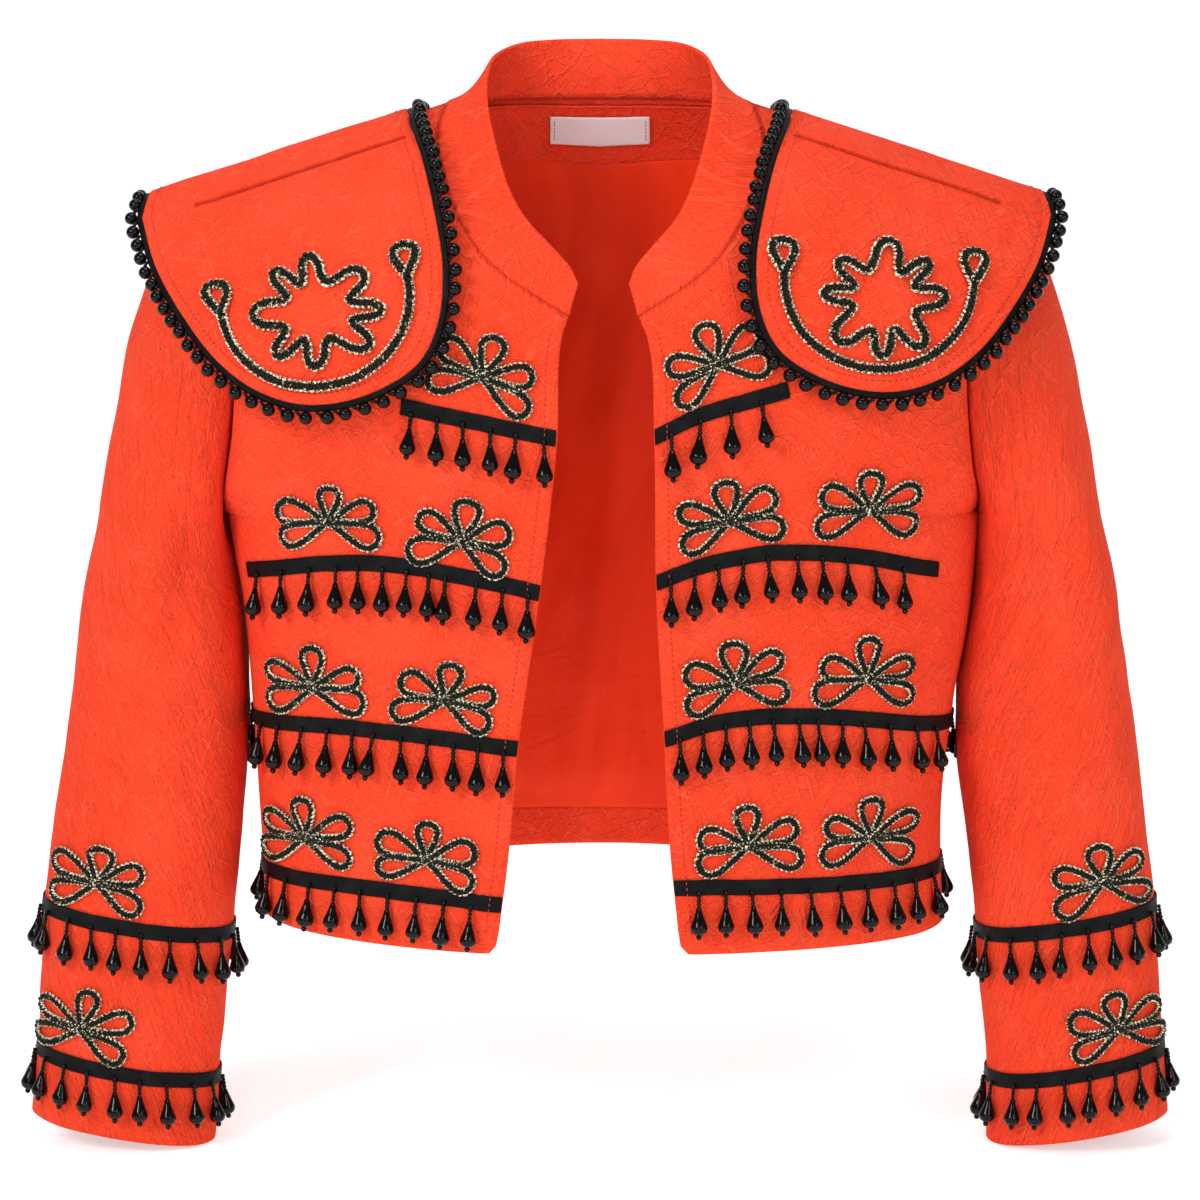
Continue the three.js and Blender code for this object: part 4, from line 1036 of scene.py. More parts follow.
class Finishes:
    """All the jacket's finishes, each made once."""

    def __init__(self) -> None:
        """Makes every material."""
        self.shell = Finish(crinkled_crepe(), Slot.SHELL)
        self.lining = Finish(satin_lining(), Slot.LINING)
        self.tape = Finish(ribbed_tape(), Slot.TAPE)
        self.braid = Finish(gilt_braid(), Slot.BRAID)
        self.beads = Finish(jet_bead(), Slot.BEADS)
        self.label = Finish(woven_label(), Slot.LABEL)
        self.thread = Finish(sewing_thread("red sewing thread", (0.56, 0.026, 0.012)), Slot.SHELL)
        self.label_thread = Finish(sewing_thread("label thread", (0.42, 0.36, 0.34)), Slot.LABEL)


# ------------------------------------------------------------------ the cut

COLUMN_FINE = 6
FRONT_COLUMNS = 12 * COLUMN_FINE
BACK_NECK_COLUMNS, BACK_SHOULDER_COLUMNS = 3 * COLUMN_FINE, 4 * COLUMN_FINE
CLOTH, STIFFENED, INNER_CLOTH = 1.6, 2.4, 1.0


def ridge_z(out: Array) -> Array:
    """Height of the shoulder seam, which falls evenly outwards from the neck."""
    return NECK_Z - SHOULDER_FALL * (out - NECK_OUT)


def rounding(drop: Array, power: float) -> Array:
    """How far cloth has rounded over an edge: a power of the sine of its drop below it."""
    return np.sin(np.clip(drop / ROUND_OVER, 0, 1) * math.pi / 2) ** power


def facing(rows: list[Array], ring: bool, row: int, wanted: Array) -> Surface:
    """A surface of rows of points, turned so that the normals of one row agree with wanted."""
    surface = Surface(np.stack(rows), ring=ring)
    if float((surface.normals[row] * wanted).sum(axis=-1).mean()) < 0:
        surface = Surface(np.stack(rows), ring=ring, turned=True)
    return surface


def outer_edge(side: Side, reach: str) -> tuple[Array, Array, Array]:
    """Outer edge of a front or back: side seam rows, then armhole rows to the shoulder.

    Args:
        side: of the jacket.
        reach: the armhole's column for how far it reaches, fore or aft.

    Returns:
        Distance out, height and reach of each row.
    """
    side_z = steps(side.hem_z, UNDERARM_Z, SIDE_ROWS)
    t = steps(0, 1, ARM_ROWS)[1:]
    arm_z = lerp(UNDERARM_Z, SHOULDER_Z, 0.35 * t + 0.65 * (1 - np.cos(t * math.pi)) / 2)
    out = np.concatenate([BODY.read(side.name, side_z), ARMHOLE.read("out", arm_z)])
    reaches = np.concatenate([np.zeros_like(side_z), ARMHOLE.read(reach, arm_z)])
    reaches[-1] = 0
    return out, np.concatenate([side_z, arm_z]), reaches


def front_surface(side: Side) -> Surface:
    """A front: each row a quarter of the body's section, from the front edge to the side.

    Across a row x is the side's distance times a power of the sine of the turn, and y
    falls from the chest's depth to the side's by a power of its cosine.
    """
    edge_z = steps(FRONT_HEM, -115, TOP_ROW - NECK_ROWS)
    edge_out = FRONT_EDGE.read(side.name, edge_z)
    shift = edge_out[-1] - 20
    t = steps(0, 1, NECK_ROWS)[1:]
    inner_out = np.concatenate([edge_out, NECK_SEAM.read("out", t) + shift * (1 - t)])[:, None]
    inner_z = np.concatenate([edge_z, NECK_SEAM.read("z", t)])[:, None]
    outer_out, outer_z, reach = (v[:, None] for v in outer_edge(side, "fore"))
    start = np.arcsin(np.minimum(1, inner_out / outer_out) ** (1 / BULGE_X))
    turn = lerp(start, math.pi / 2, steps(0, 1, FRONT_COLUMNS)[None, :])
    out = outer_out * np.sin(turn) ** BULGE_X
    z = lerp(inner_z, outer_z, (out - inner_out) / (outer_out - inner_out))
    depth = BODY.read("front", z) * rounding(ridge_z(out) - z, 0.8)
    y = -reach - (depth - reach) * np.clip(np.cos(turn), 0, 1) ** BULGE_Y
    return Surface(round_corner(stack(side.way * out, y, z)), turned=side.way < 0)


def round_corner(grid: Array, size: float = 6.0, rows: int = 3) -> Array:
    """Rounds the hem's front corner by drawing its last columns up along a quarter circle."""
    gap = np.linalg.norm(grid[0] - grid[0, :1], axis=-1)
    lift = np.where(gap < size, size - np.sqrt(np.maximum(0, size**2 - (size - gap) ** 2)), 0) * 0.8
    fade = np.clip(1 - np.arange(len(grid)) / rows, 0, 1)[:, None]
    moved = grid.copy()
    moved[..., 2] += lift[None, :] * fade
    return moved


def back_half(side: Side) -> Array:
    """Half of the back, from the centre out to the side by way of the neck point."""
    outer_out, outer_z, reach = (v[:, None] for v in outer_edge(side, "aft"))
    t = steps(0, 1, TOP_ROW)[:, None]
    centre_z = lerp(BACK_HEM, BACK_NECK_Z, t)
    neck_out = lerp(outer_out * 0.43, NECK_OUT, t)
    across = np.sin(steps(0, 1, BACK_SHOULDER_COLUMNS)[None, 1:] * math.pi / 2)
    inner = steps(0, 1, BACK_NECK_COLUMNS)[None, :] * neck_out
    out = np.concatenate([inner, lerp(neck_out, outer_out, across)], axis=1)
    share = out / outer_out
    rise = np.maximum(0, t - 0.62) / 0.38
    level = lerp(centre_z, outer_z, share**2)
    on_ridge = np.where(out <= NECK_OUT, lerp(BACK_NECK_Z, NECK_Z, (out / NECK_OUT) ** 3), ridge_z(out))
    chord = lerp(centre_z, outer_z, share) + on_ridge - lerp(BACK_NECK_Z, SHOULDER_Z, share)
    miss = rise * (ridge_z(outer_out) - SHOULDER_Z) * share**12
    z = lerp(level, chord, rise) - miss
    bow = NECK_BOW * (1 - (out / NECK_OUT) ** 2)
    ridge = np.where(out < NECK_OUT, NECK_Z + bow, ridge_z(out))
    depth = BODY.read("back", z) * rounding(ridge - z, 0.5)
    turn = np.arcsin(np.minimum(1, share) ** (1 / BULGE_X))
    y = reach + (depth - reach) * np.clip(np.cos(turn), 0, 1) ** BULGE_Y
    return stack(side.way * out, y, z)


def back_surface() -> Surface:
    """The back: the wearer's right half, reversed, and then the left half."""
    right, left = back_half(RIGHT), back_half(LEFT)
    return Surface(np.concatenate([right[:, ::-1], left[:, 1:]], axis=1), turned=True)


def sleeve_ring(z: Array, side: Side, columns: int) -> Array:
    """Sleeve sections: rounded squares tilted to the arm, from the outer side by the front."""
    outer, inner, deep, thick, tilt, square = (
        SLEEVE.read(name, z)[:, None] for name in ("outer", side.name, "deep", "thick", "tilt", "square")
    )
    turn = np.arange(columns)[None, :] * 2 * math.pi / columns
    power = 2 / square
    wide = np.sign(np.cos(turn)) * np.abs(np.cos(turn)) ** power * (outer - inner) / 2
    depth = np.sign(np.sin(turn)) * np.abs(np.sin(turn)) ** power * thick
    tilted = z[:, None] + wide * np.tan(np.radians(tilt))
    return stack(side.way * ((outer + inner) / 2 + wide), deep - depth, tilted)


def sleeve_surface(side: Side, front: Surface, back: Surface) -> Surface:
    """A sleeve: Hermite curves from the armhole to the upper arm, then sections to the cuff."""
    edge = -1 if side.way > 0 else 0
    loop = np.concatenate([front.grid[SIDE_ROWS:, -1][::-1], back.grid[SIDE_ROWS + 1 : -1, edge]])
    columns = len(loop)
    arm_z = steps(-251, -612, 10 * FINE)
    arm = sleeve_ring(arm_z, side, columns)
    to = arm[0]
    reach = np.linalg.norm(to - loop, axis=-1)[:, None]
    turn = np.arange(columns) * 2 * math.pi / columns
    fall = np.radians(lerp(62, 34, (1 + np.cos(turn)) / 2))
    leave = unit(stack(side.way * np.cos(fall), -0.55 * np.sin(turn), -np.sin(fall))) * reach * 0.6
    arrive = unit(np.array([side.way * 0.12, 0, -1.0])) * reach * 0.7
    t = steps(0, 1, 5 * FINE)[:-1, None, None]
    cap = hermite(t, loop, leave, to, arrive)
    return Surface(np.concatenate([cap, arm]), ring=True, turned=side.way < 0)


def collar_surface(fronts: tuple[Surface, Surface], back: Surface) -> Surface:
    """The stand collar: straight rows from the neck seam to its free edge."""
    first = BACK_SHOULDER_COLUMNS
    nape = back.grid[-1, first + 1 : first + 2 * BACK_NECK_COLUMNS]
    low = TOP_ROW - NECK_ROWS
    base = np.concatenate([fronts[0].grid[low:, 0], nape, fronts[1].grid[low:, 0][::-1]])
    run = run_along(base)
    half = run[-1] / 2
    along = 1 - np.abs(run - half) / half
    way = np.where(run < half, -1, 1)
    shift = np.where(way < 0, abs(base[0, 0]), abs(base[-1, 0])) - 20
    out = COLLAR_EDGE.read("out", along) + shift * np.maximum(0, 1 - along * 3)
    edge = stack(way * out, COLLAR_EDGE.read("deep", along), COLLAR_EDGE.read("z", along))
    t = steps(0, 1, 16)[:, None, None]
    bow = 1.6 * np.sin(t * math.pi)
    surface = Surface(lerp(base[None], edge[None], t), turned=True)
    surface.push(-np.broadcast_to(bow[..., 0], surface.grid.shape[:2]) * np.minimum(1, along * 5))
    return surface


# How low a cap's seam lies, the greatest share of a column it may take, where along the cap it
# ends, and how the rows spread towards the outline.
CAP_SEAM_DROP, CAP_SEAM_MOST, CAP_SEAM_END, CAP_SPREAD = 17.0, 0.62, 0.82, 1.6
CAP_COLUMNS, CAP_OVER_ROWS, CAP_FRONT_ROWS, CAP_BACK_ROWS = 96, 14, 44, 52


def cap_seam() -> Array:
    """How far down each column the seam before a cap's ridge lies, so that it runs level."""
    drop = CAP_OUTLINE.read("drop", steps(0, 1, CAP_COLUMNS))
    return np.minimum(CAP_SEAM_MOST, (CAP_SEAM_DROP / drop) ** (1 / CAP_SPREAD))


def cap_grid(side: Side, downs: Array, face: int) -> tuple[Array, Array]:
    """Part of a shoulder cap: columns fan from the ridge, rows run from ridge to outline.

    Args:
        side: of the jacket.
        downs: how far down its column each point lies, from 0 on the ridge to 1.
        face: -1 before the ridge and 1 behind it.

    Returns:
        The points and their outward normals before any crease.
    """
    along = steps(0, 1, downs.shape[1] - 1)[None, :]
    narrow = lerp(1, side.cap_out, along)
    out = lerp(lerp(115, 264, along), CAP_OUTLINE.read("out", along), downs) * narrow
    drop = CAP_OUTLINE.read("drop", along) * side.cap_drop * downs**CAP_SPREAD
    h = 0.4
    across = cap_point(side, out + h, drop, face) - cap_point(side, out - h, drop, face)
    fall = cap_point(side, out, drop + h, face) - cap_point(side, out, np.maximum(drop - h, 0), face)
    normals = unit(np.cross(across, fall))
    way = np.sign(normals[..., 2] + normals[..., 1] * face)
    return cap_point(side, out, drop, face), normals * way[..., None]


def cap_point(side: Side, out: Array, drop: Array, face: int) -> Array:
    """Points of a cap: y is its reach times a power of the sine of the drop below the ridge."""
    reach = CAP_REACH.read("fore" if face < 0 else "aft", out)
    turned = np.sin(np.clip(drop / 125, 0, 1) * math.pi / 2) ** (0.6 if face < 0 else 0.46)
    return stack(side.way * out, face * reach * turned, 9 - SHOULDER_FALL * (out - 90) - drop)


def cap_surfaces(side: Side) -> tuple[Surface, Surface]:
    """Front and back piece of a cap; the seam between them runs level, just before the ridge."""
    seam = cap_seam()[None, :]
    front, face = cap_grid(side, lerp(1.0, seam, steps(0, 1, CAP_FRONT_ROWS)[:, None]), -1)
    over, over_face = cap_grid(side, lerp(seam, 0.0, steps(0, 1, CAP_OVER_ROWS)[:-1, None]), -1)
    downs = np.broadcast_to(steps(0, 1, CAP_BACK_ROWS)[:, None] ** 1.25, (CAP_BACK_ROWS + 1, CAP_COLUMNS + 1))
    behind, back_face = cap_grid(side, downs, 1)
    turned = side.way < 0
    steady = np.concatenate([over_face, back_face])
    back = Surface(np.concatenate([over, behind]), turned=turned, steady=steady)
    return Surface(front, turned=turned, steady=face), back


@dataclass
class Cut:
    """All the jacket's surfaces with their creases in them."""

    fronts: tuple[Surface, Surface] = field(init=False)
    back: Surface = field(init=False)
    sleeves: tuple[Surface, Surface] = field(init=False)
    collar: Surface = field(init=False)
    caps: tuple[tuple[Surface, Surface], ...] = field(init=False)

    def __post_init__(self) -> None:
        """Works out each surface, its creases and its seams."""
        self.fronts = tuple(front_surface(side) for side in SIDES)
        self.back = back_surface()
        for surface in (*self.fronts, self.back):
            crumple(surface, BODY_CREASES, Seed.BODY, 1.2)
        self.sleeves = tuple(sleeve_surface(side, self.fronts[i], self.back) for i, side in enumerate(SIDES))
        self.collar = collar_surface(self.fronts, self.back)
        neck = np.arange(TOP_ROW + 1)[:, None] >= TOP_ROW - NECK_ROWS
        for surface in self.fronts:
            sink_seam(surface, "et")
            surface.seam = np.where(neck, np.minimum(surface.seam, surface.edge_distance("s")), surface.seam)
        sink_seam(self.back, "set")
        for i, surface in enumerate(self.sleeves):
            crumple(surface, SLEEVE_CREASES, Seed.SLEEVE + i, 1.5)
            sink_seam(surface, "b", 1.1, 3.0)
        for surface in self.fronts:
            surface.lay_plan(surface.lengths()[0] + np.abs(surface.grid[:, :1, 0]))
        for surface in (*self.sleeves, self.collar):
            surface.lay_plan(surface.lengths()[0].mean(axis=0))
        crumple(self.collar, COLLAR_CREASES, Seed.COLLAR, 0.5)
        sink_seam(self.collar, "b", 0.8, 1.8)
        caps = []
        for i, side in enumerate(SIDES):
            front, behind = cap_surfaces(side)
            for surface in (front, behind):
                crumple(surface, CAP_CREASES, Seed.CAP + i, 0.9, surface.room())
            level = (cap_seam() < CAP_SEAM_MOST) & (steps(0, 1, CAP_COLUMNS) < CAP_SEAM_END)
            sink_seam(front, "t", 1.1, 2.0, front.room() * level)
            sink_seam(behind, "b", -0.5, 4.0, behind.room() * level)
            for surface in (front, behind):
                surface.seam = np.where(level, surface.seam, FAR)
            front.lay_plan(front.grid[..., 0], from_top=True)
            behind.lay_plan(behind.grid[..., 0])
            caps.append((front, behind))
        self.caps = tuple(caps)


def both(*creases: tuple[float, ...], face: int = -1) -> tuple[Crease, ...]:
    """Creases on both sides of the jacket, a little unlike each other."""
    made = []
    for i, (x0, z0, x1, z1, width, depth) in enumerate(creases):
        made.append(Crease(-x0, z0, -x1, z1, width, depth, face))
        drift = 7.0 * math.sin(2.1 * i + 0.6)
        ends = (x0 + drift, z0 + drift, x1 - drift / 2, z1 + drift)
        made.append(Crease(*ends, width * 1.1, depth * 0.85, face))
    return tuple(made)


# Where each crease starts and ends (out, height), its width and depth: troughs are negative.
BODY_CREASES = both(
    (205, -205, 130, -262, 9, -1.6),
    (198, -222, 120, -300, 11, 1.2),
    (206, -300, 150, -318, 8, -1.0),
    (200, -330, 120, -345, 10, -0.9),
    (60, -200, 110, -222, 8, -0.9),
    (46, -285, 120, -300, 10, 0.9),
    (48, -390, 140, -380, 12, -1.1),
    (190, -385, 130, -402, 9, -1.0),
    (60, -470, 75, -400, 8, 0.8),
    (30, -130, 66, -118, 7, -0.9),
) + both(
    (200, -200, 110, -270, 13, -1.8),
    (205, -235, 90, -330, 15, 1.5),
    (190, -330, 60, -350, 12, -1.3),
    (150, -180, 40, -210, 14, -1.2),
    (30, -420, 130, -400, 13, 1.2),
    face=1,
)
SLEEVE_CREASES = both(
    (243, -214, 262, -330, 11, -2.6),
    (262, -210, 292, -330, 13, 1.7),
    (236, -262, 300, -300, 8, -1.2),
    (232, -292, 310, -268, 9, 0.9),
    (232, -345, 300, -372, 9, -1.2),
    (318, -352, 262, -378, 8, 1.0),
    (236, -386, 312, -362, 10, -1.3),
    (240, -412, 318, -430, 9, 1.1),
    (324, -398, 268, -420, 7, -1.0),
    (252, -500, 322, -516, 9, -0.9),
    (248, -536, 318, -528, 8, 0.8),
    (258, -596, 330, -590, 9, -0.7),
) + both(
    (238, -262, 308, -300, 12, -2.0),
    (234, -320, 312, -345, 11, 1.6),
    (240, -352, 318, -392, 10, -2.2),
    (236, -400, 320, -388, 10, 1.7),
    (246, -430, 322, -452, 10, -1.5),
    (250, -520, 330, -540, 12, 1.2),
    face=1,
)
COLLAR_CREASES = both(
    (24, -108, 47, -74, 4.5, -1.1),
    (36, -96, 62, -70, 6, 0.8),
    (60, -62, 74, -40, 6, -0.6),
)
CAP_CREASES = both(
    (262, -62, 222, -80, 4.5, -1.1),
    (258, -56, 226, -64, 4, 0.9),
    (250, -50, 214, -92, 4.5, -1.0),
    (240, -54, 206, -72, 4, 0.9),
    (232, -52, 196, -84, 5, -0.9),
    (120, -28, 200, -58, 6, -1.2),
    (116, -44, 178, -62, 7, 0.8),
    (104, -70, 150, -78, 6, -0.8),
    (240, -90, 190, -112, 7, -1.0),
    (100, -118, 160, -142, 8, 0.8),
) + both(
    (250, -60, 190, -100, 9, -1.6),
    (120, -60, 180, -110, 10, 1.3),
    (110, -110, 190, -130, 9, -1.2),
    face=1,
)


# ------------------------------------------------------------------ trims


def resample(path: Array, step: float, closed: bool = False) -> Array:
    """A path with its points an even step apart.

    Args:
        path: points, any number of coordinates.
        step: wanted distance between points.
        closed: whether the path meets itself.

    Returns:
        The path with even steps; a closed one leaves its last point out.
    """
    whole = np.concatenate([path, path[:1]]) if closed else path
    run = run_along(whole)
    goal = steps(0, run[-1], int(round(run[-1] / step)))
    return read_at(goal[:-1] if closed else goal, run, whole)


def frames_along(axis: Array, normal: Array) -> Array:
    """Frames whose Z is an axis and whose Y leans to a normal, one a place."""
    z = unit(axis)
    x = unit(np.cross(normal, z))
    return np.stack([x, np.cross(z, x), z], axis=1)


@dataclass(frozen=True)
class Plait:
    """Braid: three strands that weave from side to side, one over another."""

    swing: float = 1.72
    rise: float = 0.6
    strand: float = 1.12
    pitch: float = 7.8
    step: float = 0.85
    sides: int = 5

    def lay(self, surface: Surface, flat: Array, start: tuple[float, float], lift: Array | float,
            closed: bool = False) -> Shape:
        """Lays braid along a path on a surface.

        A strand swings sideways by the sine of its turn and rises by the sine of twice it,
        and the three strands stand a third of a turn apart.

        Args:
            surface: what it is sewn to.
            flat: x and z of the path as they show from the front.
            start: row and column near the path.
            lift: how far the braid's underside stands off the surface.
            closed: whether the path meets itself.

        Returns:
            The three strands, each point marked with how near it is to the braid's edge.
        """
        rows, columns = surface.locate(flat[:, 0], flat[:, 1], *start)
        path, normal = surface.at(rows, columns), surface.normal(rows, columns)
        if closed:
            ahead = np.roll(path, -1, axis=0) - np.roll(path, 1, axis=0)
        else:
            ahead = np.gradient(path, axis=0)
        side = unit(np.cross(normal, ahead))
        run = run_along(path)
        whole = run[-1] + (np.linalg.norm(path[0] - path[-1]) if closed else 0)
        turns = round(whole / self.pitch)
        strands = []
        for k in range(3):
            phase = 2 * math.pi * (run / whole * turns + k / 3)
            swing = self.swing * np.sin(phase)
            high = self.strand + self.rise * (1 + np.sin(2 * phase)) + lift
            middle = path + side * swing[:, None] + normal * high[:, None]
            tube = tube_shape(middle, side, normal, self.strand, self.sides, closed)
            turn = np.arange(self.sides) * 2 * math.pi / self.sides
            reach = swing[:, None] + self.strand * np.cos(turn)[None, :]
            tube.marks["edge"] = np.abs(reach / (self.swing + self.strand)).reshape(-1)
            strands.append(tube)
        return Shape.join(strands)


PLAIT = Plait()
CAP_PLAIT = Plait(swing=2.15, strand=1.34, pitch=9.0)


@dataclass(frozen=True)
class Rosette:
    """A five-loop knot of one plait, sewn down with its loops fanned over its middle."""

    name: str
    out: float
    z: float
    turn: float

    # Each loop's direction in degrees, its length and half its width.
    LOOPS = ((203, 30.5, 6.8), (161, 29.0, 6.6), (90, 22.5, 7.0), (19, 29.0, 6.6), (-23, 30.5, 6.8))
    LIFT = 0.25

    def path(self, x: float, turn: float, seed: int) -> tuple[Array, Array]:
        """The knot's path and how high each point rides where the plait crosses itself.

        Each loop goes out by the sine of its turn and aside by the sine of twice it.
        """
        rng = np.random.default_rng(seed)
        t = steps(0, 1, 40)
        points, hump = [], []
        for i, (at, long, wide) in enumerate(self.LOOPS):
            angle = math.radians(at + turn + rng.uniform(-5, 5))
            long, wide = long * rng.uniform(0.93, 1.06), wide * rng.uniform(0.88, 1.12)
            along = long * np.sin(math.pi * t) ** 0.9
            aside = -wide * np.sin(2 * math.pi * t) * (0.75 + 0.25 * np.sin(math.pi * t))
            u, v = turned_by(along, aside, angle)
            points.append(np.stack([x + u, self.z + v], axis=-1)[:-1])
            near = np.exp(-((along / 5.5) ** 2))
            hump.append((near * (0.5 + 0.45 * i * np.where(t < 0.5, 0.7, 1.0)))[:-1])
        whole = np.concatenate([np.concatenate(points), np.concatenate(hump)[:, None]], axis=1)
        even = resample(whole, PLAIT.step)
        return even[:, :2], even[:, 2]

    def shape(self, surface: Surface, way: int, start: tuple[float, float], seed: int) -> Shape:
        """The knot laid on a surface."""
        flat, hump = self.path(way * self.out, self.turn, seed)
        return PLAIT.lay(surface, flat, start, self.LIFT + hump)


def star_path(x: float, z: float, way: int, seed: int) -> Array:
    """A closed wavy ring of eight uneven lobes, a little wider than tall."""
    rng = np.random.default_rng(seed)
    a = steps(0, 2 * math.pi, 400)[:-1]
    uneven = sum(rng.uniform(-1, 1) * np.sin(k * a + rng.uniform(0, 6)) for k in (1, 2, 3, 5))
    bend = a + 0.09 * np.sin(3 * a + rng.uniform(0, 6))
    wave = np.cos(8 * bend + 0.5)
    radius = 27.5 + 8.0 * np.sign(wave) * np.abs(wave) ** 0.72 + 0.9 * uneven
    flat = np.stack([x + way * radius * np.cos(a), z + radius * 0.86 * np.sin(a)], axis=-1)
    return resample(flat, PLAIT.step, closed=True)


def arc_path(x: float, z: float, turn: float) -> tuple[Array, Array]:
    """A sweep of braid under the star, ended by a tall closed loop at each end.

    Returns:
        The path, and how high each point rides where a loop closes over itself.
    """
    half, deep, low, count = 54, 49, 7, 160
    t = steps(0, 1, 60)
    a = steps(math.pi, 2 * math.pi, count)
    sweep = np.stack([half * np.cos(a), deep * np.sin(a) - low], axis=-1)
    out, aside = 17.5 * np.sin(math.pi * t) ** 0.85, 6.4 * np.sin(2 * math.pi * t)
    left = np.stack([-half + aside - out * 0.12, out - low], axis=-1)
    right = np.stack([half - aside + out * 0.04, out - low], axis=-1)
    flat = np.concatenate([left[:-1], sweep[:-1], right])
    rise = 1.6 * np.exp(-((t / 0.12) ** 2))
    hump = np.concatenate([rise[:-1], np.zeros(count), rise[::-1]])
    u, v = turned_by(flat[:, 0], flat[:, 1], math.radians(turn))
    even = resample(np.stack([x + u, z + v, hump], axis=-1), PLAIT.step)
    return even[:, :2], even[:, 2]


@dataclass(frozen=True)
class Beads:
    """The beads' own shapes, each a profile turned round its axis."""

    tear_long: float = 16.2
    stalk_pitch: float = 2.25
    stalk_count: int = 4

    def tear(self) -> Shape:
        """A teardrop that hangs from its point, which stands at the origin."""
        profile = ((0, 0), (1.3, -0.3), (2.2, -4.0), (3.7, -8.0), (4.8, -11.0), (5.0, -12.6), (4.2, -14.6),
                   (2.2, -16.0), (0, -16.4))
        return lathe_shape(np.array(profile, float), 10)

    def core(self) -> Shape:
        """The dark thread and bead holes inside a stalk."""
        return lathe_shape(np.array([(0, 0.6), (0.6, 0.3), (0.6, -9.4), (0, -9.6)]), 5)

    def ball(self, radius: float, sides: int = 10, rings: int = 6) -> Shape:
        """A round bead."""
        a = steps(0, math.pi, rings)
        return lathe_shape(np.stack([radius * np.sin(a), radius * np.cos(a)], axis=-1), sides)

    def drops(self, tops: Array, normals: Array, downs: Array, seed: int) -> Shape:
        """Hanging drops: a stalk of seed beads, a teardrop and a small end bead.

        Args:
            tops: where each stalk leaves its tape.
            normals: off the cloth there.
            downs: the way that the cloth falls there.
            seed: picks each drop's small swing.

        Returns:
            All the drops as one shape.
        """
        rng = np.random.default_rng(seed)
        count = len(tops)
        downs = unit(downs + np.array([0.0, 0.0, -1.6]))
        aside = unit(np.cross(normals, downs))
        swing = np.clip(rng.normal(0, 0.05, (count, 1)), -0.16, 0.16)
        axis = unit(downs + normals * rng.uniform(0.13, 0.2, (count, 1)) + aside * swing)
        frames = frames_along(-axis, normals)
        seed_bead, parts = self.ball(1.45, 6, 4), [copies(self.core(), tops, frames)]
        for k in range(self.stalk_count):
            centre = tops + axis * (0.4 + k * self.stalk_pitch)
            parts.append(copies(seed_bead, centre, frames, rng.uniform(0.9, 1.06, count)))
        size = rng.uniform(0.95, 1.05, count)
        neck = tops + axis * (self.stalk_count * self.stalk_pitch - 0.7)
        parts.append(copies(self.tear(), neck, frames, size))
        tip = neck + axis * (self.tear_long * size + 1.0)[:, None]
        parts.append(copies(self.ball(1.75, 8, 5), tip, frames))
        return Shape.join(parts)


BEADS = Beads()
TAPE_WIDTH, TAPE_THICK, TAPE_LIFT = 8.7, 0.9, 0.45
TAPE_TOP = TAPE_LIFT + TAPE_THICK
DROP_PITCH = 15.6


@dataclass
class Strip:
    """A run along one surface: its columns and the height at each of them."""

    surface: Surface
    columns: Array
    heights: Array


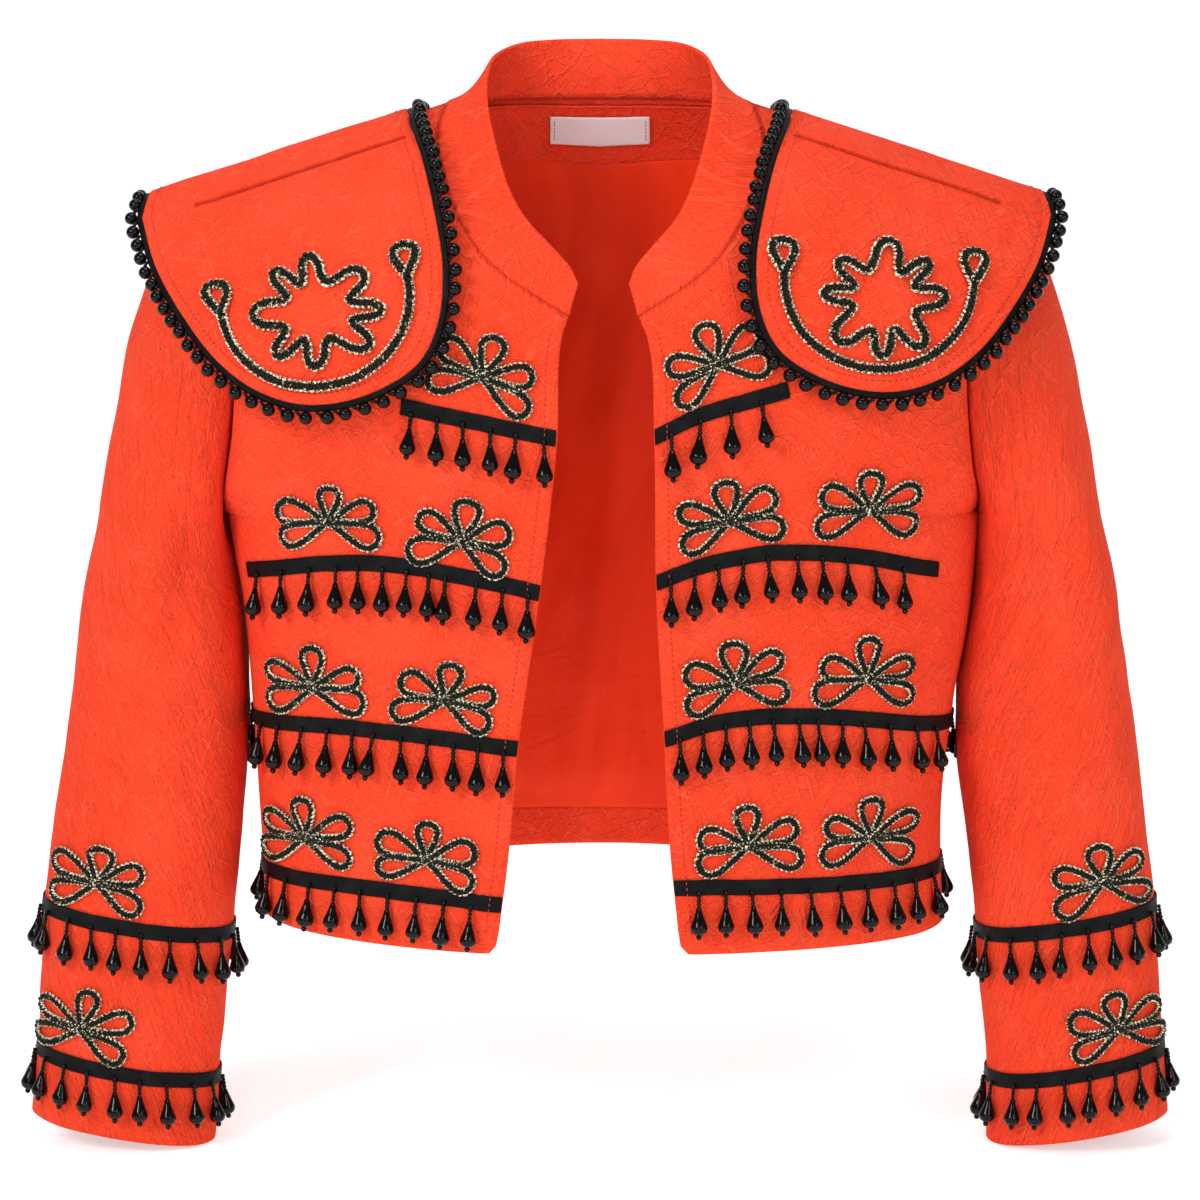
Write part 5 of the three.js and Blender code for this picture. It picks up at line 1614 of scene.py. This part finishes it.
@dataclass
class Trim:
    """A tape sewn along strips of cloth, with the drops that hang below it."""

    name: str
    strips: list[Strip]
    ring: bool = False

    def row(self, shift: float | Array, out: Array | float = 0.0) -> tuple[Array, Array]:
        """Points and normals along all the strips, at heights moved by a shift."""
        points, normals = [], []
        for strip in self.strips:
            r = strip.surface.row_at(strip.columns, strip.heights + shift)
            points.append(strip.surface.at(r, strip.columns, out))
            normals.append(strip.surface.normal(r, strip.columns))
        return np.concatenate(points), np.concatenate(normals)

    def tape(self, seed: int) -> Shape:
        """The tape: five rows across, its edges and face a little uneven."""
        middle, _ = self.row(0.0)
        edge = 0.35 * soft_noise(middle, 16.0, seed) + 0.14 * soft_noise(middle, 6.0, seed + 1)
        rows = []
        for share in (-0.5, -0.42, 0.0, 0.42, 0.5):
            points, normals = self.row(share * TAPE_WIDTH)
            points = points + np.array([0, 0, 1.0]) * edge[:, None]
            face = 0.22 * soft_noise(points, 7.0, seed + 2)
            rows.append(points + normals * (TAPE_TOP + face)[:, None])
        lowest = self.row(-0.5 * TAPE_WIDTH)[1]
        return sheet_shape(facing(rows, self.ring, 0, lowest), TAPE_THICK)

    def drops(self, seed: int, outs: tuple[tuple[float, ...], tuple[float, ...]] | None = None) -> Shape:
        """The drops below the tape.

        Args:
            seed: picks how the drops swing.
            outs: distances out of the drops on the right and left front, where they are
                set one by one; the rest of the tape has drops an even pitch apart.

        Returns:
            All the drops.
        """
        tops, normals = self.row(-TAPE_WIDTH / 2 + 2.2, TAPE_TOP + 1.0)
        lows, _ = self.row(-TAPE_WIDTH / 2 - 16.0)
        feet, _ = self.row(-TAPE_WIDTH / 2 + 2.2)
        picked = self.pick(feet, seed, outs)
        places = np.arange(len(feet))
        tops, normals, falls = (read_at(picked, places, v) for v in (tops, normals, lows - feet))
        return BEADS.drops(tops, unit(normals), unit(falls), seed)

    def pick(self, feet: Array, seed: int, outs: tuple | None) -> Array:
        """Fractional places along the row where drops hang."""
        rng = np.random.default_rng(seed + 5)
        run = run_along(feet)
        whole = np.arange(len(feet))
        if outs is None:
            total = run[-1] + (np.linalg.norm(feet[-1] - feet[0]) if self.ring else -12.0)
            start = 0.0 if self.ring else 6.0
            count = int(round(total / DROP_PITCH))
            places = np.arange(count) + 0.5 if self.ring else np.arange(count)
            goal = start + places * total / (count if self.ring else count - 1)
            goal = goal + rng.uniform(-1.2, 1.2, len(goal))
            return np.interp(goal, run, whole)
        front = feet[:, 1] < 0
        places = []
        for way, side_outs in zip((-1, 1), outs):
            part = front & (np.sign(feet[:, 0]) == way)
            if side_outs and part.any():
                order = np.argsort(np.abs(feet[part, 0]))
                places.append(np.interp(side_outs, np.abs(feet[part, 0])[order], whole[part][order]))
        if (~front).sum() > 10:
            span = run[~front]
            count = int(round((span[-1] - span[0]) / DROP_PITCH))
            goal = lerp(span[0], span[-1], (np.arange(count) + 0.5) / count)
            goal = goal + rng.uniform(-1.2, 1.2, count)
            places.append(np.interp(goal, run, whole))
        return np.concatenate(places)


@dataclass(frozen=True)
class FrontRow:
    """A tape on one front: where it starts and ends, its heights, and its drops."""

    name: str
    side: Side
    start: float
    stop: float
    heights: tuple[tuple[float, float], ...]
    drops: tuple[float, ...]

    def z(self, out: Array) -> Array:
        """Height of the tape's middle at a distance out."""
        return Table(("out", "z"), self.heights).read("z", out)

    def trim(self, surface: Surface) -> Trim:
        """The tape's run over its front."""
        out = steps(self.start, self.stop, int((self.stop - self.start) / 1.8))
        _, columns = surface.locate(self.side.way * out, self.z(out), SIDE_ROWS, FRONT_COLUMNS / 2)
        columns = np.maximum(columns, 0.0)
        return Trim(self.name, [Strip(surface, columns, self.z(out))])


FRONT_ROWS = (
    FrontRow("row1_right", RIGHT, 25, 112, ((25, -183.5), (73, -173.7), (113, -166)),
             (106, 91.5, 77, 61.5, 47, 31.5)),
    FrontRow("row1_left", LEFT, 31, 106, ((31, -183), (58, -170.5), (108, -156)),
             (40, 56.5, 73.5, 90.5)),
    FrontRow("row2_right", RIGHT, 34, 206,
             ((34, -272), (74, -263.5), (114, -257.7), (155, -258), (207, -267)),
             (198.5, 183.5, 166.5, 150.5, 138, 123.5, 109.5, 97, 87.5, 70, 55, 40.5)),
    FrontRow("row2_left", LEFT, 32, 196,
             ((32, -266), (57, -257), (91, -250.3), (131, -251), (196, -264.5)),
             (40, 53.5, 67, 81, 95, 112, 126, 140.5, 156.5, 174)),
)


@dataclass(frozen=True)
class RoundRow:
    """A tape that starts at one front edge, runs round the back and ends at the other."""

    name: str
    right: tuple[tuple[float, float], ...]
    left: tuple[tuple[float, float], ...]
    back: float
    drops: tuple[tuple[float, ...], tuple[float, ...]]

    def z(self, side: Side, out: Array) -> Array:
        """Height of the tape's middle on a front at a distance out."""
        rows = self.right if side is RIGHT else self.left
        return Table(("out", "z"), rows).read("z", out)

    def trim(self, cut: Cut) -> Trim:
        """The tape's run over the right front, the back and the left front."""
        strips = []
        fine = steps(0.0, FRONT_COLUMNS, 150)
        for side, surface in zip(SIDES, cut.fronts):
            near = (self.right if side is RIGHT else self.left)[0][1]
            out = np.abs(surface.at(surface.row_at(fine, near), fine)[:, 0])
            strips.append(Strip(surface, fine, self.z(side, out)))
        last = cut.back.columns - 1
        columns = steps(0, last, 260)[1:-1]
        t = columns / last
        chord = lerp(self.right[-1][1], self.left[-1][1], t)
        heights = chord + (self.back - chord) * np.sin(t * math.pi) ** 1.4
        left = strips[1]
        return Trim(self.name, [
            strips[0],
            Strip(cut.back, columns, heights),
            Strip(left.surface, left.columns[::-1], left.heights[::-1]),
        ])


ROUND_ROWS = (
    RoundRow("row3", ((47, -362), (97, -356.5), (150, -353.6), (209, -357)),
             ((37, -356.3), (68, -347), (109, -344.7), (150, -349), (209, -360)), -352,
             ((198.5, 187.5, 172.5, 157, 142, 130, 114, 98.5, 83.5, 69.5, 55),
              (45.5, 58.5, 71.5, 85, 99, 113.5, 124.5, 139, 152, 167.5, 183.5, 196))),
    RoundRow("row4", ((57, -453), (98, -449), (145, -446.8), (204, -448)),
             ((42, -442.7), (80, -443), (127, -444.8), (206, -447)), -430,
             ((195.5, 184, 169, 153.5, 138.5, 122, 105.5, 89.5, 74),
              (56.5, 72, 87, 104, 121, 138.5, 154.5, 171, 184, 196))),
)
SLEEVE_ROWS = (("upper", -483.0), ("lower", -572.0))

ROSETTES = {
    RIGHT: (
        Rosette("row1", 66, -149, -20),
        Rosette("row2_outer", 155, -234, 0),
        Rosette("row2_inner", 78, -242.5, -12),
        Rosette("row3_outer", 165, -332, 3),
        Rosette("row3_inner", 88, -334.5, -8),
        Rosette("row4_outer", 171, -421.5, 2),
        Rosette("row4_inner", 99, -428, -6),
    ),
    LEFT: (
        Rosette("row1", 66, -142, 20),
        Rosette("row2_outer", 153, -226, -4),
        Rosette("row2_inner", 73, -231, 10),
        Rosette("row3_outer", 153, -325, -4),
        Rosette("row3_inner", 77, -324.5, 8),
        Rosette("row4_outer", 156, -419, -3),
        Rosette("row4_inner", 85, -419, 4),
    ),
}
SLEEVE_ROSETTES = (Rosette("upper", 298.5, -455, -9), Rosette("lower", 310, -545, -11))


# ------------------------------------------------------------------ sub-assemblies


def stitch_line(path: Array, normals: Array, lift: Array | float, pitch: float = 3.3) -> Shape:
    """A row of short thread stitches along a path.

    Args:
        path: points on the cloth.
        normals: off the cloth there.
        lift: how high the thread lies, one or one a point.
        pitch: from one stitch to the next.

    Returns:
        All the stitches as one shape.
    """
    lift = np.broadcast_to(np.asarray(lift, float), (len(path),))[:, None]
    run = np.concatenate([path + normals * lift, normals], axis=1)
    length = run_along(path)
    even = read_at(np.arange(pitch, length[-1] - pitch / 2, pitch), length, run)
    centres, normal = even[:, :3], even[:, 3:]
    frames = frames_along(np.gradient(centres, axis=0), normal)
    profile = np.array([(0, -1.05), (0.3, -0.75), (0.36, 0), (0.3, 0.75), (0, 1.05)])
    return copies(lathe_shape(profile, 5), centres, frames)


@dataclass
class Body:
    """The two fronts and the back, with their tapes, drops and knots."""

    cut: Cut
    finishes: Finishes
    stitch_inset: float = 7.0

    def build(self) -> None:
        """Makes the body's cloth and everything sewn on it."""
        for i, side in enumerate(SIDES):
            trims = self.front_trims(i, side)
            front = make_cloth(f"front_panel_{side.name}", self.cut.fronts[i], CLOTH, self.finishes.shell,
                               f"front_{side.name}")
            self.front_stitches(i, side)
        back = make_cloth("back_panel", self.cut.back, CLOTH, self.finishes.shell, "back")
        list(self.round_trims())
        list(self.side_knots())

    def trim_pieces(self, trim: Trim, seed: int, outs: tuple | None) -> list[bpy.types.Object]:
        """The tape of a trim and its drops."""
        name, finishes = trim.name, self.finishes
        return [
            make_piece(f"ribbon_{name}", trim.tape(seed), finishes.tape, f"tape_{name}", weld=False),
            make_piece(f"drops_{name}", trim.drops(seed, outs), finishes.beads, f"fringe_{name}"),
        ]

    def front_trims(self, i: int, side: Side) -> list[bpy.types.Object]:
        """The short tapes and the knots on one front."""
        surface, pieces = self.cut.fronts[i], []
        for k, row in enumerate(FRONT_ROWS):
            if row.side is side:
                outs = (row.drops, ()) if side is RIGHT else ((), row.drops)
                pieces += self.trim_pieces(row.trim(surface), Seed.FRONT_TAPE + 7 * k, outs)
        for k, rosette in enumerate(ROSETTES[side]):
            start = (SIDE_ROWS * 0.8, FRONT_COLUMNS * 0.4)
            shape = rosette.shape(surface, side.way, start, Seed.FRONT_KNOT + 20 * i + k)
            pieces.append(make_piece(f"knot_{side.name}_{rosette.name}", shape, self.finishes.braid,
                                     f"rosette_{side.name}_{rosette.name}"))
        return pieces

    def round_trims(self) -> list[bpy.types.Object]:
        """The tapes that run right round the body."""
        pieces = []
        for k, row in enumerate(ROUND_ROWS):
            pieces += self.trim_pieces(row.trim(self.cut), Seed.ROUND_TAPE + 11 * k, row.drops)
        return pieces

    def side_knots(self) -> list[bpy.types.Object]:
        """The knots that show just behind the side seams, over the third row."""
        pieces = []
        for i, side in enumerate(SIDES):
            rosette = Rosette("side", 178, -326, -4 * side.way)
            start = (SIDE_ROWS * 0.7, BACK_COLUMNS_TOTAL * (0.9 if side.way > 0 else 0.1))
            shape = rosette.shape(self.cut.back, side.way, start, Seed.SIDE_KNOT + i)
            pieces.append(make_piece(f"knot_{side.name}_behind", shape, self.finishes.braid))
        return pieces

    def front_stitches(self, i: int, side: Side) -> bpy.types.Object:
        """The topstitching inside a front edge, which climbs over each tape it crosses."""
        surface = self.cut.fronts[i]
        rows = steps(2.0, TOP_ROW - NECK_ROWS - 1, 260)
        u, _ = surface.lengths()
        across = np.arange(surface.columns)
        inset = np.stack([np.interp(self.stitch_inset, row, across) for row in u])
        columns = np.interp(rows, np.arange(surface.rows), inset)
        path, normals = surface.at(rows, columns), surface.normal(rows, columns)
        lift = np.full(len(path), 0.1)
        crossed = [row.z(35.0) for row in FRONT_ROWS if row.side is side]
        crossed += [row.z(side, np.abs(path[:, 0]).mean() + 6) for row in ROUND_ROWS]
        for z in crossed:
            lift = np.where(np.abs(path[:, 2] - z) < TAPE_WIDTH / 2 + 1.5, TAPE_TOP + 0.25, lift)
        line = stitch_line(path, normals, lift)
        return make_piece(f"topstitch_front_{side.name}", line, self.finishes.thread)


BACK_COLUMNS_TOTAL = 2 * (BACK_NECK_COLUMNS + BACK_SHOULDER_COLUMNS)


@dataclass
class Sleeves:
    """The two sleeves with their tapes, drops and knots."""

    cut: Cut
    finishes: Finishes

    def build(self) -> None:
        """Makes both sleeves and their trims."""
        for i, side in enumerate(SIDES):
            surface = self.cut.sleeves[i]
            trims = self.trims(i, side, surface)
            sleeve = make_cloth(f"sleeve_panel_{side.name}", surface, CLOTH, self.finishes.shell,
                                f"sleeve_{side.name}")

    def trims(self, i: int, side: Side, surface: Surface) -> list[bpy.types.Object]:
        """Tapes, drops and knots of one sleeve."""
        body = Body(self.cut, self.finishes)
        pieces = []
        columns = np.arange(surface.columns, dtype=float)
        middle = surface.columns / 4
        for k, (name, z) in enumerate(SLEEVE_ROWS):
            row = surface.row_at(np.array([middle]), np.array([z]))[0]
            heights = surface.at(np.full(len(columns), row), columns)[:, 2]
            trim = Trim(f"sleeve_{side.name}_{name}", [Strip(surface, columns, heights)], ring=True)
            pieces += body.trim_pieces(trim, Seed.SLEEVE_TAPE + 13 * k + 3 * i, None)
        for k, rosette in enumerate(SLEEVE_ROSETTES):
            turned = Rosette(rosette.name, rosette.out, rosette.z, -side.way * rosette.turn)
            row = surface.row_at(np.array([middle]), np.array([rosette.z]))[0]
            shape = turned.shape(surface, side.way, (row, middle), Seed.SLEEVE_KNOT + 10 * i + k)
            pieces.append(make_piece(f"knot_sleeve_{side.name}_{rosette.name}", shape, self.finishes.braid,
                                     f"rosette_sleeve_{side.name}_{rosette.name}"))
        return pieces


def build_collar(cut: Cut, finishes: Finishes) -> None:
    """Makes the stand collar."""
    collar = make_cloth("stand_collar", cut.collar, STIFFENED, finishes.shell, "collar")


@dataclass
class ShoulderCap:
    """A stiff rounded cap over one shoulder: two pieces, binding, beads, star and arc."""

    side: Side
    front: Surface
    behind: Surface
    finishes: Finishes
    star_out: float = 158
    bead_radius: float = 3.95
    bead_pitch: float = 10.2
    bead_away: float = 7.9

    STAR_Z = {"right": -113.0, "left": -106.0}
    ARC = {"right": (161.0, -98.0, 12.0), "left": (157.0, -88.0, -4.0)}

    def build(self) -> None:
        """Makes the cap and what is sewn to it."""
        name = self.side.name
        edge, normal, away = self.edge()
        front_pieces = [
            *self.braids(),
            self.binding(edge, normal, away),
            self.bead_row(edge, normal, away),
            self.stitches(edge, normal, away),
        ]
        shell = self.finishes.shell
        front = make_cloth(f"cap_front_{name}", self.front, STIFFENED, shell, f"epaulette_{name}_front")
        behind = make_cloth(f"cap_back_{name}", self.behind, STIFFENED, shell, f"epaulette_{name}_back")

    def edge(self) -> tuple[Array, Array, Array]:
        """The cap's whole edge, evenly stepped: points, normals and the way out of the cloth."""
        f, b = self.front, self.behind
        parts = [(f, 0, slice(None), 1), (f, slice(1, None), -1, 1), (b, slice(1, None), -1, 1),
                 (b, -1, slice(0, -1), -1), (b, slice(1, -1), 0, -1), (f, slice(1, None), 0, -1)]
        points = np.concatenate([s.grid[r, c][::step] for s, r, c, step in parts])
        normals = np.concatenate([s.normals[r, c][::step] for s, r, c, step in parts])
        even = resample(np.concatenate([points, normals * 0.001], axis=1), 1.6, closed=True)
        points, normals = even[:, :3], self.calmed(unit(even[:, 3:]))
        ahead = np.roll(points, -1, axis=0) - np.roll(points, 1, axis=0)
        away = self.calmed(unit(np.cross(ahead, normals) * self.side.way))
        return points, normals, unit(away - normals * (away * normals).sum(axis=-1, keepdims=True))

    @staticmethod
    def calmed(field_: Array, times: int = 24) -> Array:
        """Unit vectors along a closed edge, each averaged with its neighbours several times."""
        for _ in range(times):
            field_ = unit(field_ + np.roll(field_, 1, axis=0) + np.roll(field_, -1, axis=0))
        return field_

    def braids(self) -> list[bpy.types.Object]:
        """The star and the arc under it."""
        name, way = self.side.name, self.side.way
        start, lift = (12.0, 48.0), 0.3
        ring = star_path(way * self.star_out, self.STAR_Z[name], way, Seed.STAR + way)
        star = CAP_PLAIT.lay(self.front, ring, start, lift, closed=True)
        out, z, turn = self.ARC[name]
        flat, hump = arc_path(way * out, z, turn)
        arc = CAP_PLAIT.lay(self.front, flat, start, lift + hump)
        return [
            make_piece(f"braid_star_{name}", star, self.finishes.braid, f"star_{name}"),
            make_piece(f"braid_arc_{name}", arc, self.finishes.braid, f"arc_{name}"),
        ]

    def binding(self, edge: Array, normal: Array, away: Array) -> bpy.types.Object:
        """A ribbon that comes out from under the cap's edge all the way round."""
        wobble = 0.25 * soft_noise(edge, 11.0, Seed.BINDING)[:, None]
        rows = [edge + away * (reach + wobble * (reach > 0)) - normal * sunk
                for reach, sunk in ((-3.0, 2.7), (-0.6, 1.9), (1.2, 0.75), (3.4, 0.7), (4.6, 1.15))]
        surface = facing(rows, True, 2, normal)
        return make_cloth(f"cap_binding_{self.side.name}", surface, TAPE_THICK, self.finishes.tape,
                          f"epaulette_binding_{self.side.name}")

    def bead_row(self, edge: Array, normal: Array, away: Array) -> bpy.types.Object:
        """Round beads outside the binding with two seed beads between each pair."""
        rng = np.random.default_rng(Seed.CAP_BEADS + self.side.way)
        run = run_along(edge)
        count = int(round(run[-1] / self.bead_pitch))
        goal = (np.arange(count) + rng.uniform(-0.06, 0.06, count)) * run[-1] / count
        reach = self.bead_away + rng.uniform(-0.35, 0.35, (count, 1))
        off = read_at(goal, run, normal)
        centres = read_at(goal, run, edge) + unit(read_at(goal, run, away)) * reach - off * 0.6
        tangents = read_at(goal, run, np.roll(edge, -1, axis=0) - edge)
        frames = frames_along(tangents, unit(off))
        parts = [copies(BEADS.ball(self.bead_radius, 12, 8), centres, frames, rng.uniform(0.95, 1.03, count))]
        for shift, near in ((0.5, 5.2), (0.36, 6.4)):
            between = (goal + shift * self.bead_pitch) % run[-1]
            small = read_at(between, run, edge) + unit(read_at(between, run, away)) * near
            small = small - read_at(between, run, normal) * 0.4
            parts.append(copies(BEADS.ball(1.25, 6, 4), small, frames))
        return make_piece(f"cap_beads_{self.side.name}", Shape.join(parts), self.finishes.beads,
                          f"epaulette_beads_{self.side.name}")

    def stitches(self, edge: Array, normal: Array, away: Array) -> bpy.types.Object:
        """Topstitching inside the cap's edge."""
        path = edge - away * 5.6
        line = stitch_line(path, normal, 0.2)
        return make_piece(f"topstitch_cap_{self.side.name}", line, self.finishes.thread)


@dataclass
class Inside:
    """What is sewn inside the back: hem facing, lining, neck facing and bare label."""

    cut: Cut
    finishes: Finishes
    first: float = 2.8
    hem_top: float = -438.0
    facing_low: float = -31.0
    label_low: float = -18.6
    label_high: float = -0.8
    label_half: float = 31.0

    def row_of(self, z: float) -> float:
        """Row of the back at a height on its centre line."""
        return (z - BACK_HEM) / (BACK_NECK_Z - BACK_HEM) * TOP_ROW

    def patch(self, rows: tuple[float, float], columns: tuple[float, float], depth: float,
              count: tuple[int, int]) -> Surface:
        """A piece that follows the back, moved inwards by a depth."""
        r, c = np.meshgrid(steps(*rows, count[0]), steps(*columns, count[1]), indexing="ij")
        return Surface(self.cut.back.at(r, c, -depth), turned=True)

    def build(self) -> None:
        """Makes the four pieces from the hem upwards."""
        last = BACK_COLUMNS_TOTAL
        middle = last / 2
        hem_top, low = self.row_of(self.hem_top), self.row_of(self.facing_low)
        hem = self.patch((0.4, hem_top), (1.0, last - 1.0), self.first, (12, 150))
        hem.push(-0.5 * (1 + soft_noise(hem.grid, 14.0, Seed.HEM)))
        self.place("hem_band", hem, self.finishes.shell, "hem_facing")
        across = (COLUMN_FINE, last - COLUMN_FINE)
        lining = self.patch((hem_top + 0.1, low - 0.1), across, self.first, (130, 110))
        self.drape(lining)
        self.place("satin_back_lining", lining, self.finishes.lining, "back_lining")
        reach = BACK_NECK_COLUMNS
        band = self.patch((low, TOP_ROW - 0.5), (middle - reach, middle + reach), self.first, (24, 60))
        band.push(-0.45 * (1 + soft_noise(band.grid, 17.0, Seed.NECK_BAND)))
        self.place("neck_band", band, self.finishes.shell, "neck_facing")
        self.label(middle)

    def drape(self, lining: Surface) -> None:
        """Soft vertical and slanting folds, a seam down the middle, and eased edges."""
        x, z = lining.grid[..., 0], lining.grid[..., 2]
        fold = 1.9 * soft_noise(lining.grid * np.array([1.0, 1.0, 0.42]), 42.0, Seed.LINING)
        fold += 1.0 * soft_noise(lining.grid * np.array([1.0, 1.0, 0.7]), 19.0, Seed.LINING + 1)
        slant = 1.5 * np.sin((x * 0.55 + z) / 27.0 + 1.6 * soft_noise(lining.grid, 70.0, Seed.LINING + 2))
        seam = 0.9 * np.exp(-(((x - 2.0 * np.sin(z / 70.0)) / 1.6) ** 2))
        ease = smooth(lining.edge_distance("bt") / 26.0)
        lining.push(-(2.9 + fold + slant * 0.6) * ease + seam * ease - 0.4)

    def place(self, name: str, surface: Surface, finish: Finish, node: str) -> None:
        """Makes one inside piece."""
        make_cloth(name, surface, INNER_CLOTH, finish, node)

    def label(self, middle: float) -> None:
        """The bare label with a thread bar at each end."""
        reach = self.label_half / NECK_OUT * BACK_NECK_COLUMNS
        rows = (self.row_of(self.label_low), self.row_of(self.label_high))
        label = self.patch(rows, (middle - reach, middle + reach), self.first + INNER_CLOTH + 1.3, (14, 40))
        label.push(0.35 * soft_noise(label.grid, 13.0, Seed.LABEL))
        bars = []
        for inset in (1.5, 38.5):
            r = steps(1.0, 13.0, 24)
            c = np.full(len(r), inset)
            bars.append(stitch_line(label.at(r, c, -0.85), -label.normal(r, c), 0.0, 2.6))
        stitches = make_piece("label_stitches", Shape.join(bars), self.finishes.label_thread)
        piece = make_cloth("bare_label", label, 0.8, self.finishes.label, "label")


# ------------------------------------------------------------------ the studio


@dataclass(frozen=True)
class Studio:
    """A pale floor that curves up behind, soft lights and the camera."""

    floor_z: float = -0.622
    aim: tuple[float, float, float] = (0.0, 0.0, -0.291)
    distance: float = 2.0
    elevation: float = 8.0
    lens: float = 100.0

    def build(self) -> None:
        """Makes the backdrop, the lights and the camera."""
        self.backdrop()
        self.light("key", (-1.35, -1.7, 0.95), 0.7, 28.5)
        self.light("fill", (1.35, -1.9, 0.35), 1.1, 12.5)
        self.light("overhead", (0.1, -0.35, 1.6), 1.0, 15.0)
        self.light("strip", (-0.35, -2.2, 0.35), 0.09, 5.5, 0.45)
        self.world()
        self.camera()

    def backdrop(self) -> None:
        """A floor whose far edge sweeps up: y runs back, then z rises on a quarter circle."""
        radius, far = 1.6, 2.4
        a = steps(0, math.pi / 2, 24)
        y = np.concatenate([steps(-5.0, far, 12)[:-1], far + radius * np.sin(a), [far + radius]])
        z = np.concatenate([np.zeros(12), radius * (1 - np.cos(a)), [6.0]]) + self.floor_z
        x = steps(-7.0, 7.0, 4)
        grid = np.stack(np.broadcast_arrays(x[None, :], y[:, None], z[:, None]), axis=-1)
        r, c = cells(len(y) - 1, len(x) - 1)
        first = r * len(x) + c
        quads = np.stack([first, first + 1, first + 1 + len(x), first + len(x)], axis=1)
        mesh = bpy.data.meshes.new("studio_floor")
        mesh.from_pydata(grid.reshape(-1, 3).tolist(), [], quads.tolist())
        mesh.polygons.foreach_set("use_smooth", np.ones(len(mesh.polygons), bool))
        g = Graph("white paper floor")
        paper = g.noise(g.place(), 60.0, 3.0)
        g.shade(Base_Color=g.mix(paper, (0.90, 0.90, 0.90), (0.93, 0.93, 0.93)), Roughness=0.9,
                Specular_IOR_Level=0.1, Emission_Color=(1.0, 1.0, 1.0, 1.0), Emission_Strength=0.5)
        mesh.materials.append(g.material)
        floor = bpy.data.objects.new("studio_floor", mesh)
        bpy.context.scene.collection.objects.link(floor)

    def light(self, name: str, place: tuple[float, float, float], size: float, power: float,
              height: float | None = None) -> None:
        """A soft rectangle of light that faces the jacket."""
        lamp = bpy.data.lights.new(name, "AREA")
        lamp.energy = power
        lamp.shape = "RECTANGLE"
        lamp.size = size
        lamp.size_y = height or size
        item = bpy.data.objects.new(name, lamp)
        item.location = place
        item.rotation_euler = (Vector(self.aim) - Vector(place)).to_track_quat("-Z", "Y").to_euler()
        bpy.context.scene.collection.objects.link(item)

    def world(self) -> None:
        """An even white surround."""
        world = bpy.data.worlds.new("white surround")
        world.use_nodes = True
        world.node_tree.nodes["Background"].inputs["Color"].default_value = (1.0, 1.0, 1.0, 1.0)
        world.node_tree.nodes["Background"].inputs["Strength"].default_value = 0.27
        bpy.context.scene.world = world

    def camera(self) -> None:
        """The camera, a little above the jacket's middle and looking level along +Y."""
        lens = bpy.data.cameras.new("camera")
        lens.lens = self.lens
        lens.sensor_width = 36.0
        rise = math.radians(self.elevation)
        place = Vector(self.aim) + Vector((0.0, -math.cos(rise), math.sin(rise))) * self.distance
        item = bpy.data.objects.new("camera", lens)
        item.location = place
        item.rotation_euler = (Vector(self.aim) - place).to_track_quat("-Z", "Y").to_euler()
        bpy.context.scene.collection.objects.link(item)
        bpy.context.scene.camera = item
        bpy.context.scene.view_settings.view_transform = "Standard"


def main() -> None:
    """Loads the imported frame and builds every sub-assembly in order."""
    logging.basicConfig(level=logging.INFO, format="%(message)s")
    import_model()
    finishes = Finishes()
    cut = Cut()
    Studio().build()
    Body(cut, finishes).build()
    Sleeves(cut, finishes).build()
    build_collar(cut, finishes)
    for side, (front, behind) in zip(SIDES, cut.caps):
        ShoulderCap(side, front, behind, finishes).build()
    Inside(cut, finishes).build()


if __name__ == "__main__":
    main()
